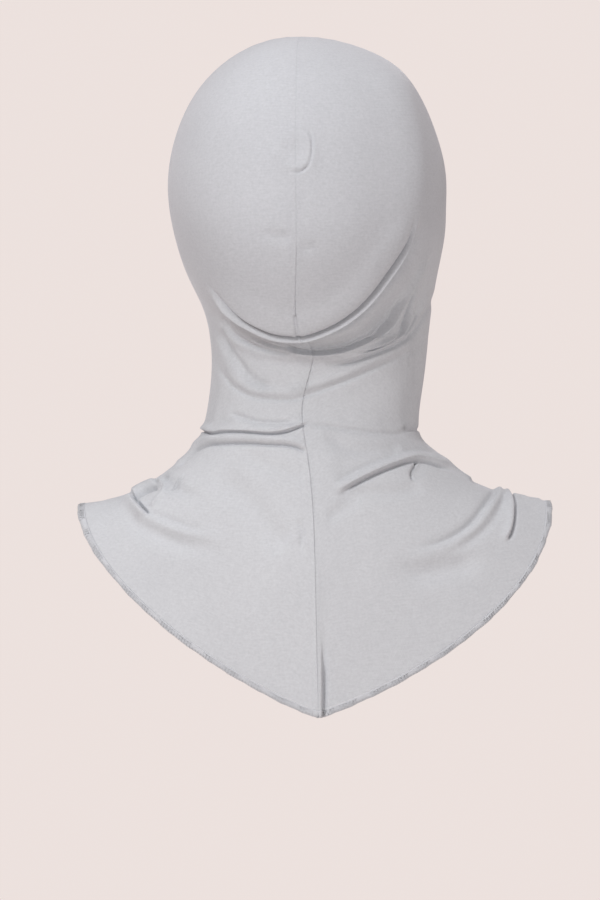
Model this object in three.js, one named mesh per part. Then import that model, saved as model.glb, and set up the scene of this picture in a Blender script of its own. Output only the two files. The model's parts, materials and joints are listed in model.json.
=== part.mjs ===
// Hijab underscarf: hood, neck tube and shoulder bib in one, sewn from two halves of jersey.
// Millimetres. The wearer faces -Y, +X is the wearer's left and +Z is up.
// The origin is the inside of the crown's top, where the cloth rests on the head.
import * as THREE from "three";

// Head, from the top down to the fold under the back of the head
const HEAD_WIDTH = 174;
const HEAD_DEPTH = 190;
const CROWN_HEIGHT = 187;

// Neck tube, from that fold down to where the shoulders begin
const NECK_WIDTH = 134;
const NECK_DEPTH = 104;
const NECK_HEIGHT = 60;

// Bib, from there down to its back point
const BIB_SPAN = 294;
const BIB_DEPTH = 189;
const BIB_HEIGHT = 174;

// Face opening inside its band, measured down from the top of the crown
const FACE_WIDTH = 120;
const FACE_TOP_DROP = 57;
const CHIN_DROP = 223;

// Cloth and trims
const CLOTH = 1.3;
const CLEARANCE = 0.3;
const BAND_WIDTH = 9;
const BAND_THICKNESS = 2.2;
const HEM_WIDTH = 4.6;
const HEM_THICKNESS = 2;
const ALLOWANCE_WIDTH = 7;
const ALLOWANCE_THICKNESS = 1.1;

// Shape of a level section: 1 is an ellipse, less is squarer
const ROUND = 0.95;
// The bib's sections: how they spread to the shoulder, bulge at the back and drop to a point
const BIB_SPREAD = 1.75;
const BIB_BULGE = 0.66;
const BIB_DROP_LEFT = 1.2;
const BIB_DROP_RIGHT = 1;
const HEAD_DROP = 2;
// Face oval: fullness of its ends, and how much wider the brow is than the jaw
const OVAL_FULLNESS = 0.92;
const OVAL_EGG = 0.06;

// Columns of faces from the back seam to the side, and from the side to the front
const BACK_COLUMNS = 15;
const FRONT_COLUMNS = 11;

const JERSEY = { color: 0xc6c4c7, roughness: 0.72, metalness: 0 };
const JERSEY_TRIM = { color: 0xbcbabd, roughness: 0.75, metalness: 0 };
const THREAD = { color: 0xb4b2b5, roughness: 0.8, metalness: 0 };

// The three lengths of the hood. Sections and folds give their sizes as shares of these.
const ZONES = {
  crown: { width: HEAD_WIDTH, depth: HEAD_DEPTH, top: 0, height: CROWN_HEIGHT },
  neck: { width: NECK_WIDTH, depth: NECK_DEPTH, top: CROWN_HEIGHT, height: NECK_HEIGHT },
  bib: {
    width: BIB_SPAN,
    depth: BIB_DEPTH,
    top: CROWN_HEIGHT + NECK_HEIGHT,
    height: BIB_HEIGHT,
  },
};

// One row for each section round the wearer, from the top of the crown to the hem.
// Drops are shares of the zone's height, across is of its width and out is of its depth.
// point turns a round section (0) into one with a point at back and front (1).
// rows is how many rows of faces lie between this section and the next.
const SECTION_COLUMNS = [
  "zone", "backDrop", "leftDrop", "rightDrop", "frontDrop", "backOut", "sideOut", "frontOut",
  "backAcross", "left", "right", "frontAcross", "point", "rows",
];
const SECTIONS = [
  ["crown", 0, 0, 0, 0, 0, 0, 0, 0.046, 0.046, 0.046, 0.046, 0, 2],
  ["crown", 0.048, 0.045, 0.043, 0.045, 0.2, 0, -0.2, 0.055, 0.247, -0.181, 0.034, 0, 3],
  ["crown", 0.182, 0.168, 0.16, 0.166, 0.368, -0.005, -0.374, 0.06, 0.405, -0.351, 0.011, 0, 3],
  ["crown", 0.374, 0.332, 0.31, 0.321, 0.461, -0.011, -0.479, 0.061, 0.494, -0.437, -0.006, 0, 3],
  ["crown", 0.588, 0.492, 0.449, 0.492, 0.497, -0.016, -0.516, 0.06, 0.523, -0.477, -0.014, 0, 3],
  ["crown", 0.791, 0.642, 0.567, 0.642, 0.474, -0.021, -0.532, 0.06, 0.505, -0.48, -0.017, 0, 3],
  ["crown", 0.984, 0.791, 0.674, 0.79, 0.364, -0.026, -0.532, 0.056, 0.456, -0.474, -0.017, 0, 5],
  ["neck", 0.2, -0.283, -0.583, -0.18, 0.529, -0.05, -0.94, 0.007, 0.515, -0.578, -0.015, 0, 4],
  ["neck", 0.467, 0.117, -0.083, 0.283, 0.49, -0.04, -0.865, 0.022, 0.477, -0.545, -0.011, 0, 3],
  ["neck", 0.733, 0.55, 0.45, 0.75, 0.49, -0.03, -0.673, 0.049, 0.481, -0.519, -0.007, 0, 3],
  ["neck", 0.983, 0.983, 0.983, 1.183, 0.529, -0.02, -0.51, 0.045, 0.517, -0.496, 0, 0, 3],
  ["bib", 0.106, 0.084, 0.073, 0.207, 0.328, -0.01, -0.275, 0.01, 0.27, -0.264, 0, 0.15, 3],
  ["bib", 0.296, 0.176, 0.165, 0.374, 0.386, -0.016, -0.317, 0, 0.34, -0.337, 0, 0.45, 4],
  ["bib", 0.587, 0.236, 0.223, 0.587, 0.444, -0.026, -0.407, -0.005, 0.415, -0.432, 0, 0.8, 4],
  ["bib", 1, 0.264, 0.25, 0.866, 0.492, -0.042, -0.508, -0.01, 0.502, -0.51, 0, 1, 0],
].map((row) => Object.fromEntries(SECTION_COLUMNS.map((column, i) => [column, row[i]])));

// Folds, as they look from VIEW_DISTANCE behind the wearer. Each runs through its points,
// given as shares of its zone's width (across, to the wearer's left) and height (down from
// the zone's top), at the scale that things have beside the origin. The other columns are
// shares of the zone's depth. rise is how far the fold stands proud, or dips where it is
// negative. below is its reach on the right hand of someone who walks along its line,
// above on the left hand, and lean pushes its crest to the right hand, to overhang.
const FOLD_COLUMNS = ["zone", "rise", "above", "below", "lean", "path"];
const FOLDS = [
  // The crown's bag of cloth hangs over the nape in one long crescent
  ["crown", 0.026, 0.047, 0.024, 0.012, [[0.378, 0.83], [0.263, 0.93], [0.144, 0.985], [0.058, 1],
    [-0.065, 0.965], [-0.184, 0.88], [-0.277, 0.76]]],
  ["neck", -0.038, 0.05, 0.08, 0, [[0.36, -0.02], [0.187, 0.13], [0.047, 0.17], [-0.084, 0.16],
    [-0.22, 0.08], [-0.309, -0.06], [-0.416, -0.41]]],
  // Swags that pull from the right ear down into the nape
  ["crown", 0.012, 0.032, 0.042, 0, [[-0.353, 0.64], [-0.328, 0.714], [-0.285, 0.785],
    [-0.238, 0.845]]],
  ["crown", 0.013, 0.037, 0.042, 0, [[-0.429, 0.714], [-0.371, 0.828], [-0.328, 0.889],
    [-0.263, 0.993]]],
  ["neck", 0.023, 0.067, 0.067, 0, [[-0.538, -0.326], [-0.449, -0.044], [-0.332, 0.155]]],
  ["neck", 0.025, 0.077, 0.067, 0, [[0.388, 0], [0.318, 0.311], [0.201, 0.5]]],
  ["neck", 0.029, 0.087, 0.067, 0, [[0.459, 0.364], [0.365, 0.594], [0.225, 0.656],
    [0.108, 0.667], [-0.08, 0.573], [-0.314, 0.343], [-0.524, 0.05]]],
  // Collar folds where the tube meets the shoulders
  ["bib", 0.016, 0.042, 0.026, 0.005, [[0.237, 0], [0.156, 0.002], [0.092, 0.006], [0.017, -0.02],
    [-0.1, -0.003], [-0.228, 0.014]]],
  ["bib", 0.013, 0.042, 0.042, 0, [[0.284, 0.112], [0.23, 0.053], [0.134, 0.046], [0.017, 0.084]]],
  // Left shoulder
  ["bib", 0.022, 0.042, 0.053, 0, [[0.386, 0.214], [0.35, 0.288], [0.309, 0.319], [0.241, 0.347]]],
  ["bib", 0.019, 0.063, 0.074, 0, [[0.403, 0.277], [0.356, 0.33], [0.301, 0.375], [0.215, 0.41],
    [0.156, 0.445]]],
  ["bib", 0.016, 0.085, 0.085, 0, [[0.32, 0.15], [0.241, 0.215], [0.156, 0.26], [0.08, 0.38]]],
  // Right shoulder
  ["bib", 0.026, 0.053, 0.032, 0.01, [[-0.075, 0.193], [-0.151, 0.137], [-0.203, 0.102],
    [-0.245, 0.095], [-0.301, 0.137]]],
  ["bib", 0.019, 0.058, 0.063, 0, [[-0.343, 0.165], [-0.39, 0.214], [-0.356, 0.298],
    [-0.314, 0.347], [-0.228, 0.396]]],
  ["bib", 0.014, 0.048, 0.053, 0, [[-0.42, 0.21], [-0.435, 0.242], [-0.433, 0.312],
    [-0.416, 0.382]]],
  ["bib", -0.016, 0.085, 0.095, 0, [[-0.177, 0.466], [-0.228, 0.487], [-0.296, 0.473],
    [-0.356, 0.445]]],
  // Dents across the crown, and the round of tied hair under it
  ["crown", -0.006, 0.047, 0.047, 0, [[0.227, 0.647], [0.15, 0.66], [0.072, 0.664]]],
  ["crown", 0.01, 0.042, 0.042, 0, [[0.13, 0.379], [0.065, 0.43], [0, 0.379], [0.065, 0.33],
    [0.13, 0.379]]],
].map((row) => Object.fromEntries(FOLD_COLUMNS.map((column, i) => [column, row[i]])));

const VIEW_DISTANCE = 2500;
const VIEW_DROP = 259;
const FOLD_STEPS = 5;
const FOLD_TAPER = 0.22;
// The folds fade out this many degrees before and after the wearer's sides
const FOLD_FADE = 12;
// Rows start to lead to the face opening at this share of the way from back to front
const LEAD_FROM = 0.45;
const NUDGE = 0.004;
const HEM_SECTION = SECTIONS.length - 1;
const LEFT = 1;
const RIGHT = -1;
const STRAIGHT = 90;
const FRONT_TURN = 180;
const LAST_COLUMN = BACK_COLUMNS + FRONT_COLUMNS;

function mix(a, b, share) {
  return a + (b - a) * share;
}

function smooth(low, high, value) {
  const share = Math.min(Math.max((value - low) / (high - low), 0), 1);
  return share * share * (3 - 2 * share);
}

// A smooth curve through evenly spaced values, as a function of the place in the list
function curveThrough(values) {
  const count = values.length;
  const bend = new Array(count).fill(0);
  const pivot = new Array(count).fill(0);
  for (let i = 1; i < count - 1; i++) {
    pivot[i] = 1 / (4 - pivot[i - 1]);
    bend[i] = (6 * (values[i + 1] - 2 * values[i] + values[i - 1]) - bend[i - 1]) * pivot[i];
  }
  for (let i = count - 2; i > 0; i--) {
    bend[i] -= pivot[i] * bend[i + 1];
  }
  return (at) => {
    const i = Math.min(Math.max(Math.floor(at), 0), count - 2);
    const t = at - i;
    const u = 1 - t;
    const straight = u * values[i] + t * values[i + 1];
    return straight + ((u ** 3 - u) * bend[i] + (t ** 3 - t) * bend[i + 1]) / 6;
  };
}

// Sections in millimetres
function sizedSection(row) {
  const zone = ZONES[row.zone];
  const down = (share) => -(zone.top + share * zone.height);
  return {
    backZ: down(row.backDrop),
    leftZ: down(row.leftDrop),
    rightZ: down(row.rightDrop),
    frontZ: down(row.frontDrop),
    backY: row.backOut * zone.depth,
    sideY: row.sideOut * zone.depth,
    frontY: row.frontOut * zone.depth,
    backX: row.backAcross * zone.width,
    leftX: row.left * zone.width,
    rightX: row.right * zone.width,
    frontX: row.frontAcross * zone.width,
    point: row.point,
  };
}

// The same section carried on over the top of the crown, where back becomes front
function overTheTop(section) {
  return {
    ...section,
    backZ: section.frontZ,
    frontZ: section.backZ,
    leftZ: section.rightZ,
    rightZ: section.leftZ,
    backY: section.frontY,
    frontY: section.backY,
    backX: section.frontX,
    frontX: section.backX,
    leftX: section.rightX,
    rightX: section.leftX,
  };
}

const sized = SECTIONS.map(sizedSection);
const carriedOver = [2, 1].map((i) => overTheTop(sized[i]));
const spine = [...carriedOver, ...sized];
const curves = Object.fromEntries(
  Object.keys(sized[0]).map((key) => [key, curveThrough(spine.map((section) => section[key]))]),
);

function sectionAt(section) {
  const at = section + carriedOver.length;
  return Object.fromEntries(Object.entries(curves).map(([key, curve]) => [key, curve(at)]));
}

// A point of the unfolded hood. turn runs from 0 at the back to 180 at the front.
function plainPoint(section, turn, side) {
  const here = sectionAt(section);
  const inFront = turn > STRAIGHT;
  const angle = THREE.MathUtils.degToRad(inFront ? FRONT_TURN - turn : turn);
  const outward = Math.abs(Math.sin(angle));
  const inward = Math.abs(Math.cos(angle));
  const midX = inFront ? here.frontX : here.backX;
  const midY = inFront ? here.frontY : here.backY;
  const midZ = inFront ? here.frontZ : here.backZ;
  const sideX = side === LEFT ? here.leftX : here.rightX;
  const sideZ = side === LEFT ? here.leftZ : here.rightZ;
  const bibDrop = side === LEFT ? BIB_DROP_LEFT : BIB_DROP_RIGHT;
  return new THREE.Vector3(
    mix(midX, sideX, outward ** mix(ROUND, BIB_SPREAD, here.point)),
    mix(here.sideY, midY, inward ** mix(ROUND, BIB_BULGE, here.point)),
    mix(sideZ, midZ, inward ** mix(HEAD_DROP, bibDrop, here.point)),
  );
}

// Which way one half's surface faces at a point
function facingOfHalf(surface, section, turn, side) {
  const down = surface(section + NUDGE, turn, side).sub(surface(section - NUDGE, turn, side));
  const degrees = NUDGE * STRAIGHT;
  const low = Math.max(turn - degrees, 0);
  const high = Math.min(turn + degrees, FRONT_TURN);
  const round = surface(section, high, side).sub(surface(section, low, side));
  return round.cross(down).multiplyScalar(side).normalize();
}

// The same, with one answer for both halves along the seams between them
function facing(surface, section, turn, side) {
  const outwards = facingOfHalf(surface, section, turn, side);
  if (turn > 0 && turn < FRONT_TURN) {
    return outwards;
  }
  return outwards.add(facingOfHalf(surface, section, turn, -side)).normalize();
}

// Each fold's line in the view from behind, in millimetres
const foldLines = FOLDS.map((fold) => {
  const zone = ZONES[fold.zone];
  const points = fold.path.map(
    ([across, down]) => new THREE.Vector3(across * zone.width, 0, -(zone.top + down * zone.height)),
  );
  const line = new THREE.CatmullRomCurve3(points, false, "centripetal");
  return line.getPoints((points.length - 1) * FOLD_STEPS);
});

// The nearest place on a fold's line: how far to its right hand a point is, how far along,
// and the direction to the right hand there
function nearestOnLine(line, x, z) {
  let best = { reach: Infinity, below: 0, along: 0, hand: null };
  for (let i = 0; i < line.length - 1; i++) {
    const dx = line[i + 1].x - line[i].x;
    const dz = line[i + 1].z - line[i].z;
    const length = Math.hypot(dx, dz);
    const share = ((x - line[i].x) * dx + (z - line[i].z) * dz) / length ** 2;
    const held = Math.min(Math.max(share, 0), 1);
    const offX = x - line[i].x - dx * held;
    const offZ = z - line[i].z - dz * held;
    const reach = Math.hypot(offX, offZ);
    if (reach < best.reach) {
      const crossing = (dx * offZ - dz * offX) / length;
      best = {
        reach,
        below: Math.sign(crossing || 1) * reach,
        along: (i + held) / (line.length - 1),
        hand: [-dz / length, dx / length],
      };
    }
  }
  return best;
}

// A point of the hood as worn, with its folds
function foldedPoint(section, turn, side) {
  const point = plainPoint(section, turn, side);
  const shown = 1 - smooth(STRAIGHT - FOLD_FADE, STRAIGHT + FOLD_FADE, turn);
  if (shown === 0) {
    return point;
  }
  const outwards = facing(plainPoint, section, turn, side);
  const nearer = VIEW_DISTANCE / (VIEW_DISTANCE - point.y);
  const x = point.x * nearer;
  const z = (point.z + VIEW_DROP) * nearer - VIEW_DROP;
  FOLDS.forEach((fold, i) => {
    const near = nearestOnLine(foldLines[i], x, z);
    const { depth } = ZONES[fold.zone];
    const width = depth * (near.below > 0 ? fold.below : fold.above);
    const ends = smooth(0, FOLD_TAPER, near.along) * smooth(0, FOLD_TAPER, 1 - near.along);
    const swell = shown * ends * depth * Math.exp(-((near.reach / width) ** 2));
    point.addScaledVector(outwards, fold.rise * swell);
    point.x += fold.lean * swell * near.hand[0];
    point.z += fold.lean * swell * near.hand[1];
  });
  return point;
}

// The section whose front line lies this far below the top of the crown
function sectionAtFront(drop) {
  let low = 0;
  let high = HEM_SECTION;
  for (let i = 0; i < 40; i++) {
    const middle = (low + high) / 2;
    if (-sectionAt(middle).frontZ < drop) {
      low = middle;
    } else {
      high = middle;
    }
  }
  return (low + high) / 2;
}

// Place on the face oval, from its top (0) to its foot (1), grown by so many millimetres
function faceOval(share, grown) {
  const top = sectionAtFront(FACE_TOP_DROP - grown);
  const foot = sectionAtFront(CHIN_DROP + grown);
  const widest = Math.asin(((FACE_WIDTH + 2 * grown) / HEAD_WIDTH) ** (1 / ROUND));
  const angle = Math.PI * share;
  const open = Math.sin(angle) ** OVAL_FULLNESS * (1 + OVAL_EGG * Math.cos(angle));
  return {
    section: mix(top, foot, (1 - Math.cos(angle)) / 2),
    turn: FRONT_TURN - THREE.MathUtils.radToDeg(widest) * open,
  };
}

// Rows of the cloth as section numbers, down the back and down the front
const faceGrown = BAND_WIDTH + CLEARANCE;
const faceTop = faceOval(0, faceGrown).section;
const faceFoot = faceOval(1, faceGrown).section;
const backRows = SECTIONS.flatMap((section, i) =>
  Array.from({ length: section.rows }, (_, row) => i + row / section.rows),
);
backRows.push(HEM_SECTION);
const topRow = backRows.findIndex((section) => section >= faceTop);
const footRow = backRows.findIndex((section) => section >= faceFoot);
const lastRow = backRows.length - 1;

function frontRow(row) {
  if (row <= topRow) {
    return { section: (backRows[row] / backRows[topRow]) * faceTop, turn: FRONT_TURN };
  }
  if (row >= footRow) {
    const share = (backRows[row] - backRows[footRow]) / (HEM_SECTION - backRows[footRow]);
    return { section: mix(faceFoot, HEM_SECTION, share), turn: FRONT_TURN };
  }
  return faceOval((row - topRow) / (footRow - topRow), faceGrown);
}

// The cloth stops short of the hem line by the width of the overlocked edge
function clothEnd(turn, side) {
  const lower = plainPoint(HEM_SECTION, turn, side);
  const length = lower.distanceTo(plainPoint(HEM_SECTION - 0.5, turn, side)) / 0.5;
  return HEM_SECTION - (HEM_WIDTH + CLEARANCE) / length;
}

// How far to turn from the centre line to reach the stitches of the seam
function seamTurn(section, side, inFront) {
  const here = sectionAt(section);
  const midX = inFront ? here.frontX : here.backX;
  const sideX = side === LEFT ? here.leftX : here.rightX;
  const share = ALLOWANCE_WIDTH / 2 / Math.abs(sideX - midX);
  const angle = Math.asin(Math.min(share, 0.5) ** (1 / mix(ROUND, BIB_SPREAD, here.point)));
  return THREE.MathUtils.radToDeg(angle);
}

function turnAt(row, column, side) {
  const front = frontRow(row);
  if (column <= BACK_COLUMNS) {
    const share = (column - 1) / (BACK_COLUMNS - 1);
    return column === 0 ? 0 : mix(seamTurn(backRows[row], side, false), STRAIGHT, share);
  }
  const closed = row <= topRow || row >= footRow;
  const steps = closed ? FRONT_COLUMNS - 1 : FRONT_COLUMNS;
  const last = closed ? FRONT_TURN - seamTurn(front.section, side, true) : front.turn;
  const share = (column - BACK_COLUMNS) / steps;
  return share > 1 ? FRONT_TURN : mix(STRAIGHT, last, share);
}

function placeOnCloth(row, column, side) {
  const turn = turnAt(row, column, side);
  const forward = smooth(LEAD_FROM, 1, column / LAST_COLUMN);
  const section = mix(backRows[row], frontRow(row).section, forward);
  const squeezed = HEM_SECTION - 2;
  if (section <= squeezed) {
    return { section, turn };
  }
  const share = (section - squeezed) / 2;
  return { section: mix(squeezed, clothEnd(turn, side), share), turn };
}

// The cloth's outer and inner points for one half, row by row from the top of the crown
function clothGrid(side) {
  const grid = [];
  for (let row = 0; row <= lastRow; row++) {
    const line = [];
    for (let column = 0; column <= LAST_COLUMN; column++) {
      const { section, turn } = placeOnCloth(row, column, side);
      const outer = foldedPoint(section, turn, side);
      const outwards =
        row === 0 ? new THREE.Vector3(0, 0, 1) : facing(foldedPoint, section, turn, side);
      outer.x += (side * CLEARANCE) / 2;
      outer.z += CLOTH;
      line.push({ outer, outwards, inner: outer.clone().addScaledVector(outwards, -CLOTH) });
    }
    grid.push(line);
  }
  return grid;
}

// Collects faces from points, and makes one closed geometry of them
class Shell {
  constructor() {
    this.points = [];
    this.faces = [];
  }

  add(point) {
    this.points.push(point.x, point.y, point.z);
    return this.points.length / 3 - 1;
  }

  triangle(a, b, c) {
    if (a !== b && b !== c && c !== a) {
      this.faces.push(a, b, c);
    }
  }

  quad(a, b, c, d) {
    this.triangle(a, b, c);
    this.triangle(a, c, d);
  }

  geometry() {
    const geometry = new THREE.BufferGeometry();
    geometry.setAttribute("position", new THREE.Float32BufferAttribute(this.points, 3));
    geometry.setIndex(this.faces);
    geometry.computeVertexNormals();
    return geometry;
  }
}

function clothPanel(grid, side) {
  const shell = new Shell();
  const sheet = (layer) => {
    const tip = shell.add(grid[0][0][layer]);
    return grid.map((line, row) =>
      line.map((place) => (row === 0 ? tip : shell.add(place[layer]))),
    );
  };
  const outer = sheet("outer");
  const inner = sheet("inner");
  const turned = (a, b, c, d) => (side === RIGHT ? shell.quad(a, b, c, d) : shell.quad(d, c, b, a));
  for (let row = 0; row < lastRow; row++) {
    for (let column = 0; column < LAST_COLUMN; column++) {
      const [a, b] = [outer[row][column], outer[row][column + 1]];
      const [d, c] = [outer[row + 1][column], outer[row + 1][column + 1]];
      turned(a, d, c, b);
      const [e, f] = [inner[row][column], inner[row][column + 1]];
      const [h, g] = [inner[row + 1][column], inner[row + 1][column + 1]];
      turned(f, g, h, e);
    }
    turned(outer[row][0], inner[row][0], inner[row + 1][0], outer[row + 1][0]);
    turned(
      inner[row][LAST_COLUMN], outer[row][LAST_COLUMN],
      outer[row + 1][LAST_COLUMN], inner[row + 1][LAST_COLUMN],
    );
  }
  for (let column = 0; column < LAST_COLUMN; column++) {
    turned(
      outer[lastRow][column], inner[lastRow][column],
      inner[lastRow][column + 1], outer[lastRow][column + 1],
    );
  }
  return shell.geometry();
}

// A strip whose every station is a ring of points, closed on itself or capped at its ends
function stripOf(stations, closed) {
  const shell = new Shell();
  const rings = stations.map((ring) => ring.map((point) => shell.add(point)));
  const sides = rings[0].length;
  const steps = closed ? rings.length : rings.length - 1;
  for (let i = 0; i < steps; i++) {
    const here = rings[i];
    const next = rings[(i + 1) % rings.length];
    for (let j = 0; j < sides; j++) {
      const k = (j + 1) % sides;
      shell.quad(here[k], here[j], next[j], next[k]);
    }
  }
  if (!closed) {
    const first = rings[0];
    const last = rings.at(-1);
    for (let j = 1; j < sides - 1; j++) {
      shell.triangle(first[0], first[j], first[j + 1]);
      shell.triangle(last[0], last[j + 1], last[j]);
    }
  }
  return shell.geometry();
}

// Band of doubled cloth round the face, from the cloth's edge to the opening
function faceBand() {
  const rows = footRow - topRow;
  const swell = (BAND_THICKNESS - CLOTH) / 2;
  const stationAt = (row, side) => {
    const ring = (grown, height) => {
      const { section, turn } = faceOval(row / rows, grown);
      const outwards = facing(foldedPoint, section, turn, side);
      const point = foldedPoint(section, turn, side).addScaledVector(outwards, height);
      point.z += CLOTH;
      return point;
    };
    const lip = BAND_WIDTH / 4;
    return [
      ring(BAND_WIDTH, 0),
      ring(BAND_WIDTH - lip, swell),
      ring(lip, swell),
      ring(0, -CLOTH / 2),
      ring(lip, -CLOTH - swell),
      ring(BAND_WIDTH - lip, -CLOTH - swell),
      ring(BAND_WIDTH, -CLOTH),
    ];
  };
  const right = Array.from({ length: rows }, (_, row) => stationAt(row, RIGHT));
  const left = Array.from({ length: rows }, (_, row) => stationAt(rows - row, LEFT));
  return stripOf([...right, ...left], true);
}

// Overlocked edge from the cloth's lower edge to the hem line, all the way round
function hemOverlock(leftGrid, rightGrid) {
  const swell = (HEM_THICKNESS - CLOTH) / 2;
  const stationAt = (grid, column) => {
    const edge = grid[lastRow][column];
    const above = grid[lastRow - 1][column];
    const down = edge.outer.clone().sub(above.outer).normalize();
    const ring = (along, height) =>
      edge.outer.clone().addScaledVector(down, along).addScaledVector(edge.outwards, height);
    const middle = CLEARANCE + HEM_WIDTH / 2;
    return [
      ring(CLEARANCE, 0),
      ring(middle, swell),
      ring(CLEARANCE + HEM_WIDTH, -CLOTH / 2),
      ring(middle, -CLOTH - swell),
      ring(CLEARANCE, -CLOTH),
    ];
  };
  const left = [];
  const right = [];
  for (let column = 0; column <= LAST_COLUMN; column++) {
    left.push(stationAt(leftGrid, column));
    right.push(stationAt(rightGrid, LAST_COLUMN - column));
  }
  return stripOf([...left, ...right], true);
}

// Sewn allowance inside the wall, astride the seam between the two halves. Each place is
// a row of the cloth, with its column on the seam and its column at the stitches.
function allowance(places) {
  const stations = places.map(({ row, seam, stitches }) => {
    const across = [
      leftGrid[row][stitches],
      leftGrid[row][seam],
      rightGrid[row][stitches],
    ];
    const [from, middle, to] = across.map(({ inner, outwards }) => (depth) =>
      inner.clone().addScaledVector(outwards, -depth),
    );
    const deep = CLEARANCE + ALLOWANCE_THICKNESS;
    return [
      from(CLEARANCE), middle(CLEARANCE), to(CLEARANCE),
      to(deep), middle(deep), from(deep),
    ];
  });
  return stripOf(stations, false);
}

function rowsFrom(first, last) {
  const step = Math.sign(last - first);
  return Array.from({ length: Math.abs(last - first) + 1 }, (_, i) => first + i * step);
}

function named(name, geometry, look) {
  const mesh = new THREE.Mesh(geometry, new THREE.MeshStandardMaterial(look));
  mesh.name = name;
  return mesh;
}

const leftGrid = clothGrid(LEFT);
const rightGrid = clothGrid(RIGHT);
const atFront = { seam: LAST_COLUMN, stitches: LAST_COLUMN - 1 };
const atBack = { seam: 0, stitches: 1 };
const overCrown = rowsFrom(topRow, 1).map((row) => ({ row, ...atFront }));
const downBack = rowsFrom(1, lastRow).map((row) => ({ row, ...atBack }));
const upFront = rowsFrom(lastRow, footRow).map((row) => ({ row, ...atFront }));

const underscarf = new THREE.Group();
underscarf.add(named("left_panel", clothPanel(leftGrid, LEFT), JERSEY));
underscarf.add(named("right_panel", clothPanel(rightGrid, RIGHT), JERSEY));
underscarf.add(named("back_seam", allowance([...overCrown, ...downBack]), THREAD));
underscarf.add(named("front_seam", allowance(upFront), THREAD));
underscarf.add(named("face_band", faceBand(), JERSEY_TRIM));
underscarf.add(named("hem_overlock", hemOverlock(leftGrid, rightGrid), THREAD));

export default underscarf;
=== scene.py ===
"""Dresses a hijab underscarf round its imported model.

The hood, neck tube and shoulder bib are two halves of fine jersey. They are sewn together along the middle, bound
round the face with a doubled band and overlocked round the hem, and they lie in the folds that they have when worn.
"""

import json
import logging
import math
from dataclasses import dataclass, field
from enum import Enum
from typing import Sequence

import bpy
import numpy as np
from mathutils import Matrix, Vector

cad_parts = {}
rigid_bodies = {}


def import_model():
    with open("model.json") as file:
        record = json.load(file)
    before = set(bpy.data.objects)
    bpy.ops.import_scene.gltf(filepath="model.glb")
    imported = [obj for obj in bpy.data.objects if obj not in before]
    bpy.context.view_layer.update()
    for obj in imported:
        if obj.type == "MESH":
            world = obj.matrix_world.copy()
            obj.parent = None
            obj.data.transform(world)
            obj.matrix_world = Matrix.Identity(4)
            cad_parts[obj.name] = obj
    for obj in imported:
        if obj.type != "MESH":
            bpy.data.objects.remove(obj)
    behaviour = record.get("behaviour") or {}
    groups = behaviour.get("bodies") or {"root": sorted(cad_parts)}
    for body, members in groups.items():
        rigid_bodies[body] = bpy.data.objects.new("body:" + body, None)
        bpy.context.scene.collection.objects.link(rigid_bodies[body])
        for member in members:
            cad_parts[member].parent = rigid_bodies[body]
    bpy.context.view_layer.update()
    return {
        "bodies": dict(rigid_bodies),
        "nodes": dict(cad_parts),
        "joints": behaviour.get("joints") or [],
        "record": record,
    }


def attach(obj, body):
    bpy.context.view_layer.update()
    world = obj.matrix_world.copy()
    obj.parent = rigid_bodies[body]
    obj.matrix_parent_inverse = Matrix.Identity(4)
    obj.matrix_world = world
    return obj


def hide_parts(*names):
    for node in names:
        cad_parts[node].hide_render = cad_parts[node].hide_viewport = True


Array = np.ndarray
LOG = logging.getLogger("underscarf")
MM = 0.001

# The turns of the wearer's sides and front in degrees, and how high the cloth's outer face lies on the head.
SIDE = 90.0
FRONT = 180.0
CLOTH_TOP = 1.3 * MM


def mix(low: Array | float, high: Array | float, share: Array | float) -> Array | float:
    """Goes from low to high as share goes from 0 to 1."""
    return low + (high - low) * share


def smooth(low: float, high: float, value: Array | float) -> Array | float:
    """Rises gently from 0 at low to 1 at high."""
    share = np.clip((np.asarray(value, float) - low) / (high - low), 0, 1)
    return share * share * (3 - 2 * share)


def unit(vectors: Array) -> Array:
    """Scales each vector in an array to length 1."""
    return vectors / np.maximum(np.linalg.norm(vectors, axis=-1, keepdims=True), 1e-12)


@dataclass(frozen=True)
class PhotoView:
    """The view that the part is matched to: level, from behind, with its scale beside the wearer."""

    pixel: float = 0.627 * MM
    middle_column: float = 313.0
    top_row: float = 37.0
    columns: int = 600
    rows: int = 900
    distance: float = 2.5
    sensor: float = 36 * MM

    def place(self, column: float, row: float) -> tuple[float, float]:
        """Gives x and z, beside the wearer, of a pixel of the 600 by 900 view."""
        return (self.middle_column - column) * self.pixel, CLOTH_TOP - (row - self.top_row) * self.pixel

    def centre(self) -> tuple[float, float]:
        """Gives x and z of the middle of the view."""
        return self.place(self.columns / 2, self.rows / 2)

    def seen(self, points: Array) -> Array:
        """Projects points to x and z beside the wearer, as the camera sees them.

        Args:
            points: positions, in an array whose last axis is x, y and z.

        Returns:
            An array whose last axis is x and z.
        """
        x_mid, z_mid = self.centre()
        nearer = self.distance / (self.distance - points[..., 1])
        x = (points[..., 0] - x_mid) * nearer + x_mid
        z = (points[..., 2] - z_mid) * nearer + z_mid
        return np.stack([x, z], axis=-1)


@dataclass(frozen=True)
class Zone:
    """One of the three lengths of the hood, in metres."""

    width: float
    depth: float
    top: float
    height: float


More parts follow.
